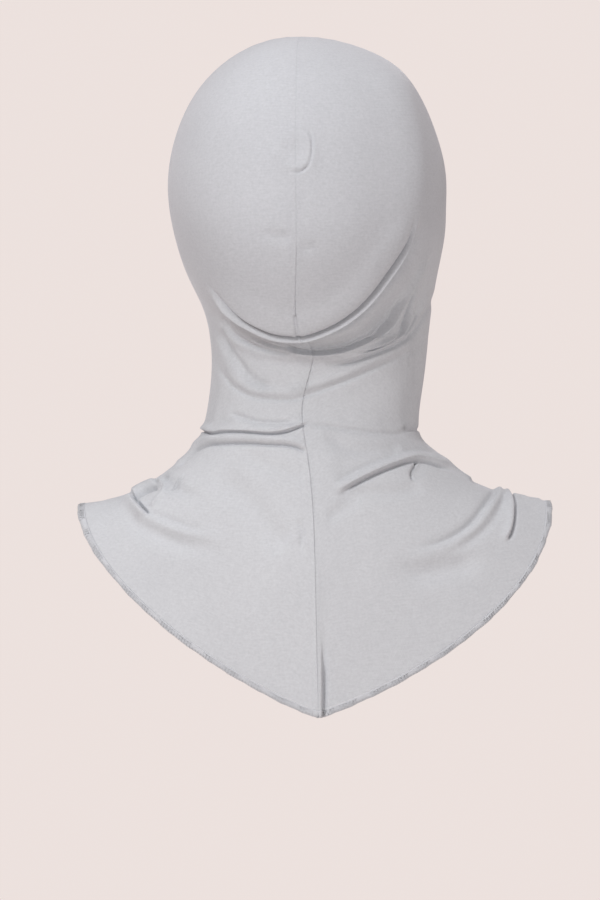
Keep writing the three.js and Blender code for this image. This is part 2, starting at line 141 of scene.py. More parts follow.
@dataclass(frozen=True)
class HoodSizes:
    """The sizes that the cloth was cut and worn to, in metres."""

    head_width: float = 174 * MM
    head_depth: float = 190 * MM
    crown_height: float = 187 * MM
    neck_width: float = 134 * MM
    neck_depth: float = 104 * MM
    neck_height: float = 60 * MM
    bib_span: float = 294 * MM
    bib_depth: float = 189 * MM
    bib_height: float = 174 * MM
    face_width: float = 120 * MM
    face_top_drop: float = 57 * MM
    chin_drop: float = 223 * MM
    cloth: float = 1.0 * MM
    seam_gap: float = 0.02 * MM
    trim_gap: float = 0.1 * MM
    band_width: float = 9 * MM
    band_thickness: float = 2.0 * MM
    hem_width: float = 4.6 * MM
    hem_thickness: float = 1.25 * MM
    allowance_width: float = 7 * MM
    allowance_thickness: float = 1.0 * MM

    def zones(self) -> dict[str, Zone]:
        """Works out the three lengths of the hood.

        Returns:
            Each by its name.
        """
        neck_top = self.crown_height
        bib_top = neck_top + self.neck_height
        return {
            "crown": Zone(self.head_width, self.head_depth, 0.0, self.crown_height),
            "neck": Zone(self.neck_width, self.neck_depth, neck_top, self.neck_height),
            "bib": Zone(self.bib_span, self.bib_depth, bib_top, self.bib_height),
        }


class Part(Enum):
    """The columns of a section in metres, in the order that the form keeps them."""

    BACK_Z = 0
    LEFT_Z = 1
    RIGHT_Z = 2
    FRONT_Z = 3
    BACK_Y = 4
    SIDE_Y = 5
    FRONT_Y = 6
    BACK_X = 7
    LEFT_X = 8
    RIGHT_X = 9
    FRONT_X = 10
    POINT = 11


# Each section round the wearer, from the top of the crown to the hem: its zone, its drops at the back, left, right
# and front as shares of the zone's height, how far out its back, sides and front lie as shares of its depth, where
# its back seam, left, right and front lie across as shares of its width, how pointed it is, and how many rows of
# faces follow it.
SECTION_ROWS = (
    ("crown", (0, 0, 0, 0), (0, 0, 0), (0.046, 0.046, 0.046, 0.046), 0, 5),
    ("crown", (0.048, 0.045, 0.043, 0.045), (0.2, 0, -0.2), (0.055, 0.247, -0.181, 0.034), 0, 8),
    ("crown", (0.182, 0.168, 0.16, 0.166), (0.368, -0.005, -0.374), (0.06, 0.405, -0.351, 0.011), 0, 16),
    ("crown", (0.374, 0.332, 0.31, 0.321), (0.461, -0.011, -0.479), (0.061, 0.494, -0.437, -0.006), 0, 18),
    ("crown", (0.588, 0.492, 0.449, 0.492), (0.497, -0.016, -0.516), (0.06, 0.523, -0.477, -0.014), 0, 30),
    ("crown", (0.791, 0.642, 0.567, 0.642), (0.474, -0.021, -0.532), (0.06, 0.505, -0.48, -0.017), 0, 54),
    ("crown", (0.984, 0.791, 0.674, 0.79), (0.364, -0.026, -0.532), (0.056, 0.456, -0.474, -0.017), 0, 40),
    ("neck", (0.2, -0.283, -0.583, -0.18), (0.529, -0.05, -0.94), (0.007, 0.515, -0.578, -0.015), 0, 32),
    ("neck", (0.467, 0.117, -0.083, 0.283), (0.49, -0.04, -0.865), (0.022, 0.477, -0.545, -0.011), 0, 24),
    ("neck", (0.733, 0.55, 0.45, 0.75), (0.49, -0.03, -0.673), (0.049, 0.481, -0.519, -0.007), 0, 26),
    ("neck", (0.983, 0.983, 0.983, 1.183), (0.529, -0.02, -0.51), (0.045, 0.517, -0.496, 0), 0, 24),
    ("bib", (0.106, 0.084, 0.073, 0.207), (0.328, -0.01, -0.275), (0.01, 0.27, -0.264, 0), 0.15, 24),
    ("bib", (0.296, 0.176, 0.165, 0.374), (0.386, -0.016, -0.317), (0, 0.34, -0.337, 0), 0.45, 28),
    ("bib", (0.587, 0.236, 0.223, 0.587), (0.444, -0.026, -0.407), (-0.005, 0.415, -0.432, 0), 0.8, 30),
    ("bib", (1, 0.264, 0.25, 0.866), (0.492, -0.042, -0.508), (-0.01, 0.502, -0.51, 0), 1, 0),
)


class EvenSpline:
    """A smooth curve through rows of values at 0, 1, 2 and so on."""

    def __init__(self, values: Array) -> None:
        """Works out the bend at each row, with none at the two ends.

        Args:
            values: the value at each row.
        """
        count = len(values)
        system = np.eye(count)
        pull = np.zeros_like(values)
        for i in range(1, count - 1):
            system[i, i - 1 : i + 2] = (1, 4, 1)
            pull[i] = 6 * (values[i + 1] - 2 * values[i] + values[i - 1])
        self.values = values
        self.bend = np.linalg.solve(system, pull)

    def at(self, place: Array) -> Array:
        """Gives the row of values at each place.

        Args:
            place: places along the curve, in any shape.

        Returns:
            An array of the same shape, with one more axis that holds the values.
        """
        i = np.clip(np.floor(place).astype(int), 0, len(self.values) - 2)
        t = (place - i)[..., None]
        u = 1 - t
        straight = u * self.values[i] + t * self.values[i + 1]
        return straight + ((u**3 - u) * self.bend[i] + (t**3 - t) * self.bend[i + 1]) / 6


@dataclass
class HoodForm:
    """The hood's form without its folds, as a surface over section and turn.

    Sections count from 0 at the top of the crown to the hem. Turns are in degrees: 0 at the back seam, 90 at the
    wearer's left, -90 at the right, and 180 or -180 at the front.
    """

    sizes: HoodSizes
    round_share: float = 0.95
    bib_spread: float = 1.75
    bib_bulge: float = 0.66
    bib_drop_left: float = 1.2
    bib_drop_right: float = 1.0
    head_drop: float = 2.0
    oval_fullness: float = 0.92
    oval_egg: float = 0.06
    front_places: int = 4001
    spline: EvenSpline = field(init=False)
    carried: int = field(init=False, default=2)

    def __post_init__(self) -> None:
        """Carries the first sections on over the top of the crown, so that it is a dome and not a cone."""
        sized = np.array([self.sized(row) for row in SECTION_ROWS])
        swapped = [Part.FRONT_Z, Part.RIGHT_Z, Part.LEFT_Z, Part.BACK_Z, Part.FRONT_Y, Part.SIDE_Y, Part.BACK_Y]
        swapped += [Part.FRONT_X, Part.RIGHT_X, Part.LEFT_X, Part.BACK_X, Part.POINT]
        over = sized[[2, 1]][:, [part.value for part in swapped]]
        self.spline = EvenSpline(np.vstack([over, sized]))

    def sized(self, row: Sequence) -> list[float]:
        """Turns a section's shares into metres.

        Args:
            row: the section as it stands in the table.

        Returns:
            The section in metres.
        """
        zone_name, drops, outs, acrosses, point, _ = row
        zone = self.sizes.zones()[zone_name]
        heights = [-(zone.top + drop * zone.height) for drop in drops]
        return [*heights, *(out * zone.depth for out in outs), *(x * zone.width for x in acrosses), point]

    @property
    def hem(self) -> int:
        """Gives the number of the last section."""
        return len(SECTION_ROWS) - 1

    def plain(self, section: Array, turn: Array) -> Array:
        """Gives points of the unfolded cloth's outer face.

        Args:
            section: section numbers, with fractions between sections.
            turn: turns in degrees, of the same shape.

        Returns:
            Points, in an array with one more axis.
        """
        here = self.spline.at(section + self.carried)

        def part(name: Part) -> Array:
            """Picks one column of the sections."""
            return here[..., name.value]

        in_front = np.abs(turn) > SIDE
        left = turn > 0
        angle = np.radians(np.where(in_front, FRONT - np.abs(turn), np.abs(turn)))
        outward = np.abs(np.sin(angle))
        inward = np.abs(np.cos(angle))
        point = part(Part.POINT)
        mid_x = np.where(in_front, part(Part.FRONT_X), part(Part.BACK_X))
        mid_y = np.where(in_front, part(Part.FRONT_Y), part(Part.BACK_Y))
        mid_z = np.where(in_front, part(Part.FRONT_Z), part(Part.BACK_Z))
        side_x = np.where(left, part(Part.LEFT_X), part(Part.RIGHT_X))
        side_z = np.where(left, part(Part.LEFT_Z), part(Part.RIGHT_Z))
        bib_drop = np.where(left, self.bib_drop_left, self.bib_drop_right)
        x = mix(mid_x, side_x, outward ** mix(self.round_share, self.bib_spread, point))
        y = mix(part(Part.SIDE_Y), mid_y, inward ** mix(self.round_share, self.bib_bulge, point))
        z = mix(side_z, mid_z, inward ** mix(self.head_drop, bib_drop, point))
        return np.stack([x, y, z + CLOTH_TOP], axis=-1)

    def section_at_front(self, drop: float) -> float:
        """Finds the section whose front line lies this far below the top of the crown.

        Args:
            drop: how far below, in metres.

        Returns:
            The section, counted from the crown.
        """
        places = np.linspace(0, self.hem, self.front_places)
        drops = -self.spline.at(places + self.carried)[:, Part.FRONT_Z.value]
        return float(np.interp(drop, drops, places))

    def face_oval(self, share: Array, grown: float) -> tuple[Array, Array]:
        """Gives places on the edge of the face opening.

        Args:
            share: how far down the oval each place is, from 0 at its top to 1 at its foot.
            grown: how far outside the opening the oval lies, in metres.

        Returns:
            The places' sections and their turns, without sign.
        """
        top = self.section_at_front(self.sizes.face_top_drop - grown)
        foot = self.section_at_front(self.sizes.chin_drop + grown)
        reach = (self.sizes.face_width + 2 * grown) / self.sizes.head_width
        widest = math.degrees(math.asin(reach ** (1 / self.round_share)))
        angle = np.pi * np.asarray(share, float)
        opened = np.abs(np.sin(angle)) ** self.oval_fullness * (1 + self.oval_egg * np.cos(angle))
        return mix(top, foot, (1 - np.cos(angle)) / 2), FRONT - widest * opened


@dataclass(frozen=True)
class Fold:
    """One fold: where it runs in the view from behind, and its cut across.

    The line is a list of pixels of the 600 by 900 view. Walking along it, positive offset and the reach called
    below are on the walker's right hand. Lengths are in millimetres.
    """

    line: str
    offset: float
    rise: float
    above: float
    below: float
    lean: float = 0.0
    start: float = 0.14
    end: float = 0.14


FOLD_LINES: dict[str, tuple[tuple[float, float], ...]] = {
    "crown_crease": (
        (205, 279), (222, 300), (239, 315), (255, 324), (273, 331.5), (288, 334), (299, 334.5), (312, 331.5),
        (330, 324), (346, 314), (362, 300), (376, 283), (388, 266), (397, 253), (405, 240), (410, 226), (412, 212),
    ),
    "crown_split": ((371, 303), (379, 292), (387, 281), (394, 270), (401, 258), (408, 245)),
    "crown_edge": (
        (339, 45), (377, 60), (398, 85), (411, 125), (417, 159), (416, 195), (411, 222), (398, 243), (377, 268),
    ),
    "nape_crease": (
        (264, 340), (286, 347.7), (300.7, 351.5), (318.6, 353), (336.5, 351), (351, 347), (369, 338.8),
        (378.8, 330.7), (388.5, 321), (395, 309.5), (404.8, 295), (410, 282),
    ),
    "nape_left_a": ((248, 334), (265, 343.7), (280, 348), (296, 351.5)),
    "nape_left_b": ((220, 312), (230.8, 330.7), (243.8, 340.4), (260, 347), (279.6, 351.5), (298, 354)),
    "pull_a": (
        (432.7, 253.5), (425, 268), (416, 285), (408, 298), (400, 314), (392, 327), (381, 336), (366, 342),
    ),
    "pull_e": ((420, 303), (412, 320), (402, 335), (388, 344), (372, 350), (352, 355.5)),
    "pull_b": ((417, 286), (411, 300), (404.8, 319), (396.6, 335.5), (383.6, 343.7), (370.6, 348.5), (352, 352)),
    "pull_c": (
        (436, 288), (433, 299), (426, 314), (414.5, 332), (398, 345), (374, 355), (349.5, 363), (322, 366),
    ),
    "pull_d": (
        (431, 327), (424, 341), (406, 353.4), (382, 364.8), (357.6, 376), (333, 386), (315, 392.5), (299, 398),
        (286, 400), (268, 399), (252, 396.5), (235.7, 389), (226, 379), (219, 368), (215, 350),
    ),
    "nape_left_c": ((221, 326), (226, 342), (234, 355), (242, 366), (250, 376), (260, 383.5), (278, 385)),
    "nape_left_d": ((228, 412), (243.8, 417.7), (260, 421.7), (279.6, 422.5), (298, 421.5)),
    "neck_base": (
        (198, 429), (211, 434), (221, 432.8), (237, 432.3), (253.5, 433.4), (269.8, 434.4), (286, 432.3),
        (299, 427.4), (312, 422.5),
    ),
    "neck_step_right": ((424, 430.5), (414, 430), (404, 431.5), (394, 434)),
    "neck_base_right": ((306, 423), (333, 426.6), (357.6, 430), (382, 432.8), (410, 435)),
    "collar": (
        (176, 468), (188, 456.3), (197.6, 449), (207, 445), (217.8, 443.7), (243.8, 443.2), (268, 444.5),
        (286, 445.3), (299, 448.6), (311, 455),
    ),
    "collar_right": ((322, 431), (341, 444.5), (357.6, 450), (382, 450), (404, 448)),
    "left_v_top": ((134, 497.5), (141, 492.5), (149.7, 488.5), (158, 485.5)),
    "left_v_low": ((132, 494), (134.5, 497.5), (140, 504), (150, 515)),
    "left_ridge": ((156, 480), (163, 484), (164, 491), (158, 499), (150, 509)),
    "left_crease": ((160, 475), (172, 484), (184.8, 492), (206, 500)),
    "left_soft_a": ((144, 510), (165.7, 518.5), (181.6, 524), (208, 532)),
    "left_soft_b": ((118, 505), (133.8, 520.9), (145, 528), (159, 535), (181.6, 543), (205.5, 548), (238, 559)),
    "left_hollow": ((212, 474), (242, 493.8), (258, 513), (272.5, 532), (290, 545)),
    "seam_pucker": ((298, 520), (302.8, 533.6), (300.5, 550)),
    "collar_soft": ((240, 453), (277, 468), (306, 477)),
    "right_fold": (
        (338, 494), (351.5, 485.8), (370.6, 476), (386.5, 469), (404, 462.7), (418.4, 460), (431, 462.7),
        (440.7, 465.9), (457, 471),
    ),
    "right_nick": ((419, 459), (414.4, 467.5), (412, 474.6), (414, 481)),
    "right_under": ((334, 497), (357.8, 491.4), (381.7, 491.4), (402.5, 490.6), (424, 483)),
    "right_soft": ((326, 518), (343.5, 508), (361, 498)),
    "right_crease_a": (
        (470, 477), (485.4, 481.8), (493.4, 487.4), (493.4, 493.8), (487, 503), (475.8, 519), (463, 530.4),
        (447, 540), (424.8, 546.4), (398, 551),
    ),
    "right_crease_b": ((507, 486), (503, 500), (496.5, 516), (482, 532), (461.5, 544.8), (430, 556)),
    "right_edge": ((508, 485), (514.5, 498), (515.7, 512.9), (513.3, 528.9), (507, 543)),
    "right_hollow": ((384, 560), (415.2, 571), (437.5, 568.7), (461.5, 564), (488, 555)),
    "tied_hair": (
        (278, 151), (283, 139), (295, 134), (307, 139), (312, 151), (307, 163), (295, 168), (283, 163), (278, 151),
    ),
    "tied_hair_edge": ((301, 127), (310, 134), (312.5, 147), (309.5, 163), (304, 169.5), (297, 172), (277, 169)),
    "crown_dent_a": ((250, 232), (276, 234.7), (297, 237.5)),
    "crown_dent_b": ((294, 244), (308, 247), (322, 242)),
    "seam_notch": ((294.5, 314), (295.5, 322), (297.5, 336)),
    "tip_pleat": ((322.5, 636), (323.5, 680), (323, 722)),
}

# Each fold in the order of the lines: its line, offset, rise, and reaches above and below, and where it has them its
# lean and how much of the line its start and its end take to grow. A crease sinks and a ridge rises.
FOLDS: tuple[Fold, ...] = (
    Fold("crown_edge", 0, 2.8, 8, 13, start=0.3, end=0.3),
    Fold("crown_crease", -6, 1.5, 6, 4.4),
    Fold("crown_crease", -6, 1.8, 9, 3.6, start=0.55, end=0.3),
    Fold("crown_crease", 0, -2.6, 0.55, 0.55, start=0.16, end=0.2),
    Fold("crown_crease", -1.7, 1.8, 3.0, 0.9, lean=1.3, start=0.2, end=0.25),
    Fold("crown_crease", 1.9, 3.6, 1.2, 0.9, lean=0.5, start=0.1, end=0.25),
    Fold("crown_crease", 2.1, 1.2, 1.0, 0.8, lean=0.5, start=0.6, end=0.25),
    Fold("crown_crease", 4.8, -6.0, 1.2, 3.4, start=0.6, end=0.25),
    Fold("nape_crease", -1.8, -3.6, 6.0, 1.3, start=0.3, end=0.25),
    Fold("crown_split", 0, -1.6, 0.6, 0.7, start=0.3, end=0.2),
    Fold("nape_crease", 0, -2.4, 0.55, 0.6, start=0.15, end=0.2),
    Fold("nape_crease", 1.7, 2.6, 0.9, 2.6, lean=-0.7, start=0.2, end=0.25),
    Fold("nape_left_a", 0, -1.6, 0.7, 0.9, start=0.4, end=0.05),
    Fold("nape_left_a", 2.0, 1.0, 1.3, 2.2),
    Fold("nape_left_b", 0, -1.6, 1.2, 1.6),
    Fold("nape_left_b", 3.0, 1.1, 2.1, 2.6),
    Fold("pull_a", 0, -2.0, 0.6, 0.7, start=0.25, end=0.2),
    Fold("pull_a", 1.9, 2.2, 1.0, 1.6, lean=-0.6, start=0.2),
    Fold("pull_b", 0, -1.8, 0.55, 0.6, start=0.2),
    Fold("pull_b", -1.8, 1.7, 1.2, 1.0, lean=0.6, start=0.2),
    Fold("pull_e", 0, -1.5, 0.6, 0.9, start=0.2),
    Fold("pull_e", 1.8, 1.6, 1.0, 1.4, lean=-0.5, start=0.2),
    Fold("pull_c", 0, -1.9, 1.1, 2.3, start=0.3),
    Fold("pull_c", 3.6, 1.9, 2.0, 2.6, start=0.3),
    Fold("pull_d", 0, -1.5, 1.5, 3.4, start=0.25),
    Fold("pull_d", 4.2, 1.3, 3.4, 2.8, start=0.25),
    Fold("nape_left_c", 0, -1.8, 1.7, 3.0),
    Fold("nape_left_c", 4.6, 1.0, 2.4, 3.0),
    Fold("nape_left_d", 0, -1.2, 1.6, 2.2),
    Fold("nape_left_d", 3.0, 0.8, 1.8, 2.2),
    Fold("neck_base", 0, -1.8, 0.6, 0.6, start=0.04),
    Fold("neck_base", -2.2, 1.9, 2.6, 1.1, lean=0.9, start=0.04),
    Fold("neck_base_right", 0, -0.9, 1.2, 2.0),
    Fold("neck_step_right", 0, -1.3, 0.8, 1.8, start=0.02, end=0.6),
    Fold("collar", 0, -2.2, 0.8, 1.1, start=0.05),
    Fold("collar", -3.2, 1.9, 2.8, 1.7, start=0.05),
    Fold("collar_right", 0, -1.6, 3.4, 4.4),
    Fold("left_v_top", 0, -3.6, 0.7, 1.8, start=0.08),
    Fold("left_v_top", -2.4, 3.0, 2.4, 1.2),
    Fold("left_v_low", 0, -4.2, 0.7, 0.7, start=0.16),
    Fold("left_v_low", 2.4, 3.4, 1.3, 4.2, start=0.2),
    Fold("left_ridge", 0, 2.3, 1.3, 1.3),
    Fold("left_crease", 0, -2.2, 2.2, 3.4, end=0.45),
    Fold("left_soft_a", 0, -1.8, 2.0, 3.0),
    Fold("left_soft_b", 0, -2.1, 4.2, 6.0, start=0.35, end=0.4),
    Fold("left_soft_b", -7.5, 1.6, 4.5, 3.6, start=0.3, end=0.3),
    Fold("left_hollow", 0, -2.6, 8, 9),
    Fold("seam_pucker", 0, -1.1, 1.5, 2.0),
    Fold("collar_soft", 0, -1.3, 4.6, 5.6),
    Fold("right_fold", 0, -2.4, 0.6, 1.4),
    Fold("right_fold", -2.7, 2.6, 3.0, 1.2, lean=0.9),
    Fold("right_fold", -6.6, -1.2, 2.2, 1.6, start=0.1, end=0.5),
    Fold("right_nick", 0, -2.6, 0.6, 0.9, start=0.08),
    Fold("right_nick", -2.4, -1.2, 5.0, 1.4, start=0.1),
    Fold("right_under", 0, -1.7, 2.4, 3.8),
    Fold("right_soft", 0, -1.4, 3.0, 4.0),
    Fold("right_crease_a", 0, -2.0, 1.5, 3.0, start=0.03, end=0.3),
    Fold("right_crease_a", -3.6, 1.5, 2.5, 1.9, start=0.03, end=0.3),
    Fold("right_crease_b", 0, -1.6, 2.2, 3.2, end=0.3),
    Fold("right_edge", 0, -2.8, 0.55, 0.8, start=0.08),
    Fold("right_edge", 2.4, 2.0, 1.6, 3.0, start=0.08),
    Fold("right_hollow", 0, -2.8, 5.6, 7.5, start=0.3, end=0.3),
    Fold("tied_hair", 0, 0.8, 4.2, 4.2, start=0.0001, end=0.0001),
    Fold("tied_hair_edge", 0, -1.1, 0.7, 0.8, start=0.2, end=0.2),
    Fold("crown_dent_a", 0, -1.0, 1.9, 3.4, start=0.45, end=0.35),
    Fold("crown_dent_b", 0, -0.9, 1.8, 3.0, start=0.45, end=0.4),
    Fold("seam_notch", 0, -1.0, 1.0, 1.0),
    Fold("tip_pleat", 0, -2.6, 2.2, 0.6, start=0.5, end=0.001),
    Fold("tip_pleat", 1.7, 1.7, 0.8, 4.0, start=0.5, end=0.001),
)


@dataclass(frozen=True)
class Beside:
    """The points that lie beside one fold, and where.

    Attributes:
        points: the numbers of the points.
        side: how far each lies from the fold's middle to the right hand, in millimetres.
        past: how far each lies past an end of the line, squared, in millimetres.
        strength: how much of the fold there is at each, from 0 to 1.
        hand: the direction to the right hand, in x and z.
    """

    points: Array
    side: Array
    past: Array
    strength: Array
    hand: Array


@dataclass
class FoldField:
    """Lays all the folds on the plain form.

    Attributes:
        view: the view that the lines are drawn in.
        steps: into how many steps each span of a line is divided.
        fade_from: the turn, in degrees, from which the folds fade towards the front.
        fade_to: the turn where they have gone.
        widths_out: how many times its own width a fold is followed outwards.
        sharp: the reach of the sharp folds, which need a finer grid, in millimetres.
        thin: the reach of a ridge that doesn't show on the inner face, in millimetres.
        inner_widening: how much wider a crease is on the inner face, in millimetres.
    """

    view: PhotoView
    steps: int = 6
    fade_from: float = 96.0
    fade_to: float = 118.0
    widths_out: float = 3.2
    sharp: float = 1.6
    thin: float = 2.4
    inner_widening: float = 1.0

    def line(self, name: str) -> Array:
        """Draws one fold's line smoothly through its pixels.

        Args:
            name: the line's name in FOLD_LINES.

        Returns:
            Points of x and z beside the wearer, in metres.
        """
        pixels = np.array([self.view.place(*pixel) for pixel in FOLD_LINES[name]])
        spline = EvenSpline(pixels)
        return spline.at(np.linspace(0, len(pixels) - 1, (len(pixels) - 1) * self.steps + 1))

    def nearest(self, line: Array, spots: Array) -> tuple[Array, Array, Array, Array]:
        """Finds the place on a line that is nearest to each spot.

        Args:
            line: points of the line.
            spots: positions of x and z.

        Returns:
            Each spot's distance to the line's right hand, its full distance, its place along the line from 0 to 1,
            and the direction to the right hand there.
        """
        start, step = line[:-1], np.diff(line, axis=0)
        length = np.maximum(np.linalg.norm(step, axis=1), 1e-9)
        away = spots[:, None, :] - start[None]
        held = np.clip((away * step).sum(-1) / length**2, 0, 1)
        off = away - held[..., None] * step
        reach = np.linalg.norm(off, axis=-1)
        best = reach.argmin(axis=1)
        rows = np.arange(len(spots))
        hand = np.stack([-step[:, 1], step[:, 0]], axis=1) / length[:, None]
        hand = hand[best]
        across = (off[rows, best] * hand).sum(-1)
        along = (best + held[rows, best]) / len(step)
        return across, reach[rows, best], along, hand

    def shown(self, turn: Array) -> Array:
        """Tells how much of the folds there is at each turn: all behind, and nothing in front."""
        return 1 - smooth(self.fade_from, self.fade_to, np.abs(turn)).reshape(-1)

    def beside(self, fold: Fold, seen: Array, shown: Array, width: float) -> Beside | None:
        """Finds the points that one fold reaches.

        Args:
            fold: the fold.
            seen: where each point is seen, in x and z.
            shown: how much of the folds there is at each.
            width: how wide the fold is, in millimetres.

        Returns:
            Those points and where they lie, or None where there are none.
        """
        line = self.line(fold.line)
        margin = (abs(fold.offset) + self.widths_out * width) * MM
        low, high = line.min(0) - margin, line.max(0) + margin
        near = np.flatnonzero((shown > 0) & ((seen > low) & (seen < high)).all(1))
        if not len(near):
            return None
        across, reach, along, hand = self.nearest(line, seen[near])
        side = np.where(across < 0, -reach, reach) / MM - fold.offset
        past = np.maximum(reach**2 - across**2, 0) / MM**2
        ends = smooth(0, fold.start, along) * smooth(0, fold.end, 1 - along)
        return Beside(near, side, past, ends * shown[near], hand)

    def sharpness(self, points: Array, turn: Array) -> tuple[Array, Array]:
        """Tells where the cloth needs a finer grid.

        Args:
            points: points of the plain form.
            turn: each point's turn, in degrees.

        Returns:
            How near each point is to a sharp fold that lies level, and to one that stands upright, from 0 to 1.
        """
        seen, shown = self.view.seen(points.reshape(-1, 3)), self.shown(turn)
        level, upright = np.zeros(len(seen)), np.zeros(len(seen))
        for fold in FOLDS:
            if min(fold.above, fold.below) > self.sharp:
                continue
            near = self.beside(fold, seen, shown, self.sharp)
            if near is None:
                continue
            close = np.exp(-((near.side / self.sharp) ** 2)) * near.strength
            level[near.points] = np.maximum(level[near.points], close * np.abs(near.hand[:, 1]))
            upright[near.points] = np.maximum(upright[near.points], close * np.abs(near.hand[:, 0]))
        return level.reshape(turn.shape), upright.reshape(turn.shape)

    def lay(self, points: Array, outwards: Array, turn: Array, inside: bool) -> Array:
        """Moves points of the plain form to where the folds put them.

        Args:
            points: points of the plain form.
            outwards: which way the cloth faces at each.
            turn: each point's turn, in degrees.
            inside: whether they are for the inner face, which creases reach more widely and thin ridges don't.

        Returns:
            The moved points.
        """
        flat, facing = points.reshape(-1, 3), outwards.reshape(-1, 3)
        seen, shown = self.view.seen(flat), self.shown(turn)
        move = np.zeros_like(flat)
        for fold in FOLDS:
            if inside and fold.rise > 0 and min(fold.above, fold.below) < self.thin:
                continue
            near = self.beside(fold, seen, shown, max(fold.above, fold.below) + self.inner_widening)
            if near is None:
                continue
            width = np.where(near.side > 0, fold.below, fold.above)
            if inside and fold.rise < 0:
                width = width + self.inner_widening
            swell = np.exp(-((near.side / width) ** 2) - near.past / width**2) * near.strength * MM
            move[near.points] += facing[near.points] * (fold.rise * swell)[:, None]
            if not inside:
                move[near.points, 0] += fold.lean * swell * near.hand[:, 0]
                move[near.points, 2] += fold.lean * swell * near.hand[:, 1]
        return (flat + move).reshape(points.shape)


@dataclass
class ClothGrid:
    """The whole cloth as rows of points, from the right front round the back to the left front.

    A pair of sections is where one length of the cloth goes over into the next. The groove is the seam itself, the
    puckers lie beside it, and the imprint is the ridge of the allowance turned to the left under the cloth.
    """

    form: HoodForm
    folds: FoldField
    back_columns: int = 104
    front_columns: int = 30
    seam_crowding: float = 1.22
    lead_from: float = 0.45
    hem_sections: float = 2.0
    crown_groove: float = 0.06 * MM
    neck_groove: float = 0.32 * MM
    bib_groove: float = 0.26 * MM
    groove_width: float = 0.75 * MM
    crown_to_neck: tuple[float, float] = (4.6, 6.0)
    neck_to_bib: tuple[float, float] = (10.0, 11.5)
    pucker_depth: float = 0.12 * MM
    pucker_pitch: float = 5.5 * MM
    pucker_drift: float = 0.37
    pucker_reach: float = 5 * MM
    imprint: float = 0.16 * MM
    imprint_width: float = 3.3 * MM
    imprint_edge: float = 0.2
    imprint_on_crown: float = 0.4
    imprint_grows: tuple[float, float] = (4.0, 6.0)
    crowding: float = 7.0
    blur_rows: float = 24.0
    blur_columns: float = 4.0
    blur_ends: float = 2.5
    section: Array = field(init=False)
    turn: Array = field(init=False)
    outer: Array = field(init=False)
    inner: Array = field(init=False)
    outwards: Array = field(init=False)
    top_row: int = field(init=False)
    foot_row: int = field(init=False)

    def __post_init__(self) -> None:
        """Works out every row and column, lays the folds and gives the cloth its thickness."""
        self.lay_out()
        self.crowd()
        self.section = self.stop_at_hem(self.section, self.turn)
        plain = self.form.plain(self.section, self.turn)
        facing = self.facing(plain)
        folded = self.folds.lay(plain, facing, self.turn, False)
        self.outer = self.sew(folded, self.facing(folded))
        self.outwards = self.facing(self.outer)
        self.inner = self.folds.lay(plain, facing, self.turn, True) - facing * self.form.sizes.cloth

    @property
    def half(self) -> int:
        """Gives the number of columns of faces in one half."""
        return self.back_columns + self.front_columns

    def lay_out(self) -> None:
        """Sets the section and turn of every point."""
        form, sizes = self.form, self.form.sizes
        grown = sizes.band_width + sizes.trim_gap
        back = [i + r / row[-1] for i, row in enumerate(SECTION_ROWS) for r in range(row[-1])] + [form.hem]
        back = np.array(back, float)
        face_top = float(form.face_oval(0, grown)[0])
        face_foot = float(form.face_oval(1, grown)[0])
        top, foot = int(np.argmax(back >= face_top)), int(np.argmax(back >= face_foot))
        rows = np.arange(len(back))
        oval_section, oval_turn = form.face_oval((rows - top) / (foot - top), grown)
        below = (back - back[foot]) / (form.hem - back[foot])
        front = np.where(rows <= top, back / back[top] * face_top, mix(face_foot, form.hem, below))
        open_row = (rows > top) & (rows < foot)
        front = np.where(open_row, oval_section, front)
        front_turn = np.where(open_row, oval_turn, FRONT)
        columns = np.arange(self.half + 1)
        forward = smooth(self.lead_from, 1, columns / self.half)
        section = mix(back[:, None], front[:, None], forward[None])
        to_side = SIDE * np.minimum(columns / self.back_columns, 1) ** self.seam_crowding
        to_front = np.clip((columns - self.back_columns) / self.front_columns, 0, 1)
        turn = np.where(columns <= self.back_columns, to_side, mix(SIDE, front_turn[:, None], to_front))
        self.section = np.concatenate([section[:, :0:-1], section], axis=1)
        self.turn = np.concatenate([-turn[:, :0:-1], turn], axis=1)
        self.top_row, self.foot_row = top, foot

    def crowd(self) -> None:
        """Moves rows and columns closer together where the folds are sharp."""
        for upright in (False, True):
            near = self.folds.sharpness(self.form.plain(self.section, self.turn), self.turn)[upright]
            near = self.blurred(near, 0 if upright else 1, self.blur_rows if upright else self.blur_columns)
            if upright:
                for row, wanted in enumerate(near):
                    for piece in (slice(0, self.half + 1), slice(self.half, None)):
                        place = self.evened(wanted[piece])
                        self.shift(self.section[row, piece], place)
                        self.shift(self.turn[row, piece], place)
            else:
                for column in range(near.shape[1]):
                    place = self.evened(near[:, column])
                    self.shift(self.section[:, column], place)
                    self.shift(self.turn[:, column], place)

    def blurred(self, values: Array, axis: int, reach: float) -> Array:
        """Smooths values along one axis, so that neighbouring lines of the grid shift alike.

        Args:
            values: the values on the grid.
            axis: the axis.
            reach: how many points it reaches.

        Returns:
            The smoothed values.
        """
        far = math.ceil(self.blur_ends * reach)
        steps = np.arange(-far, far + 1)
        kernel = np.exp(-((steps / reach) ** 2))
        return np.apply_along_axis(np.convolve, axis, values, kernel / kernel.sum(), "same")

    def evened(self, wanted: Array) -> Array:
        """Gives new places for a line of points, nearer together where more are wanted.

        Args:
            wanted: how many points each stretch wants, against the others.

        Returns:
            The new places.
        """
        dense = 1 + self.crowding * wanted
        total = np.concatenate([[0], np.cumsum((dense[1:] + dense[:-1]) / 2)])
        return np.interp(np.linspace(0, total[-1], len(wanted)), total, np.arange(len(wanted)))

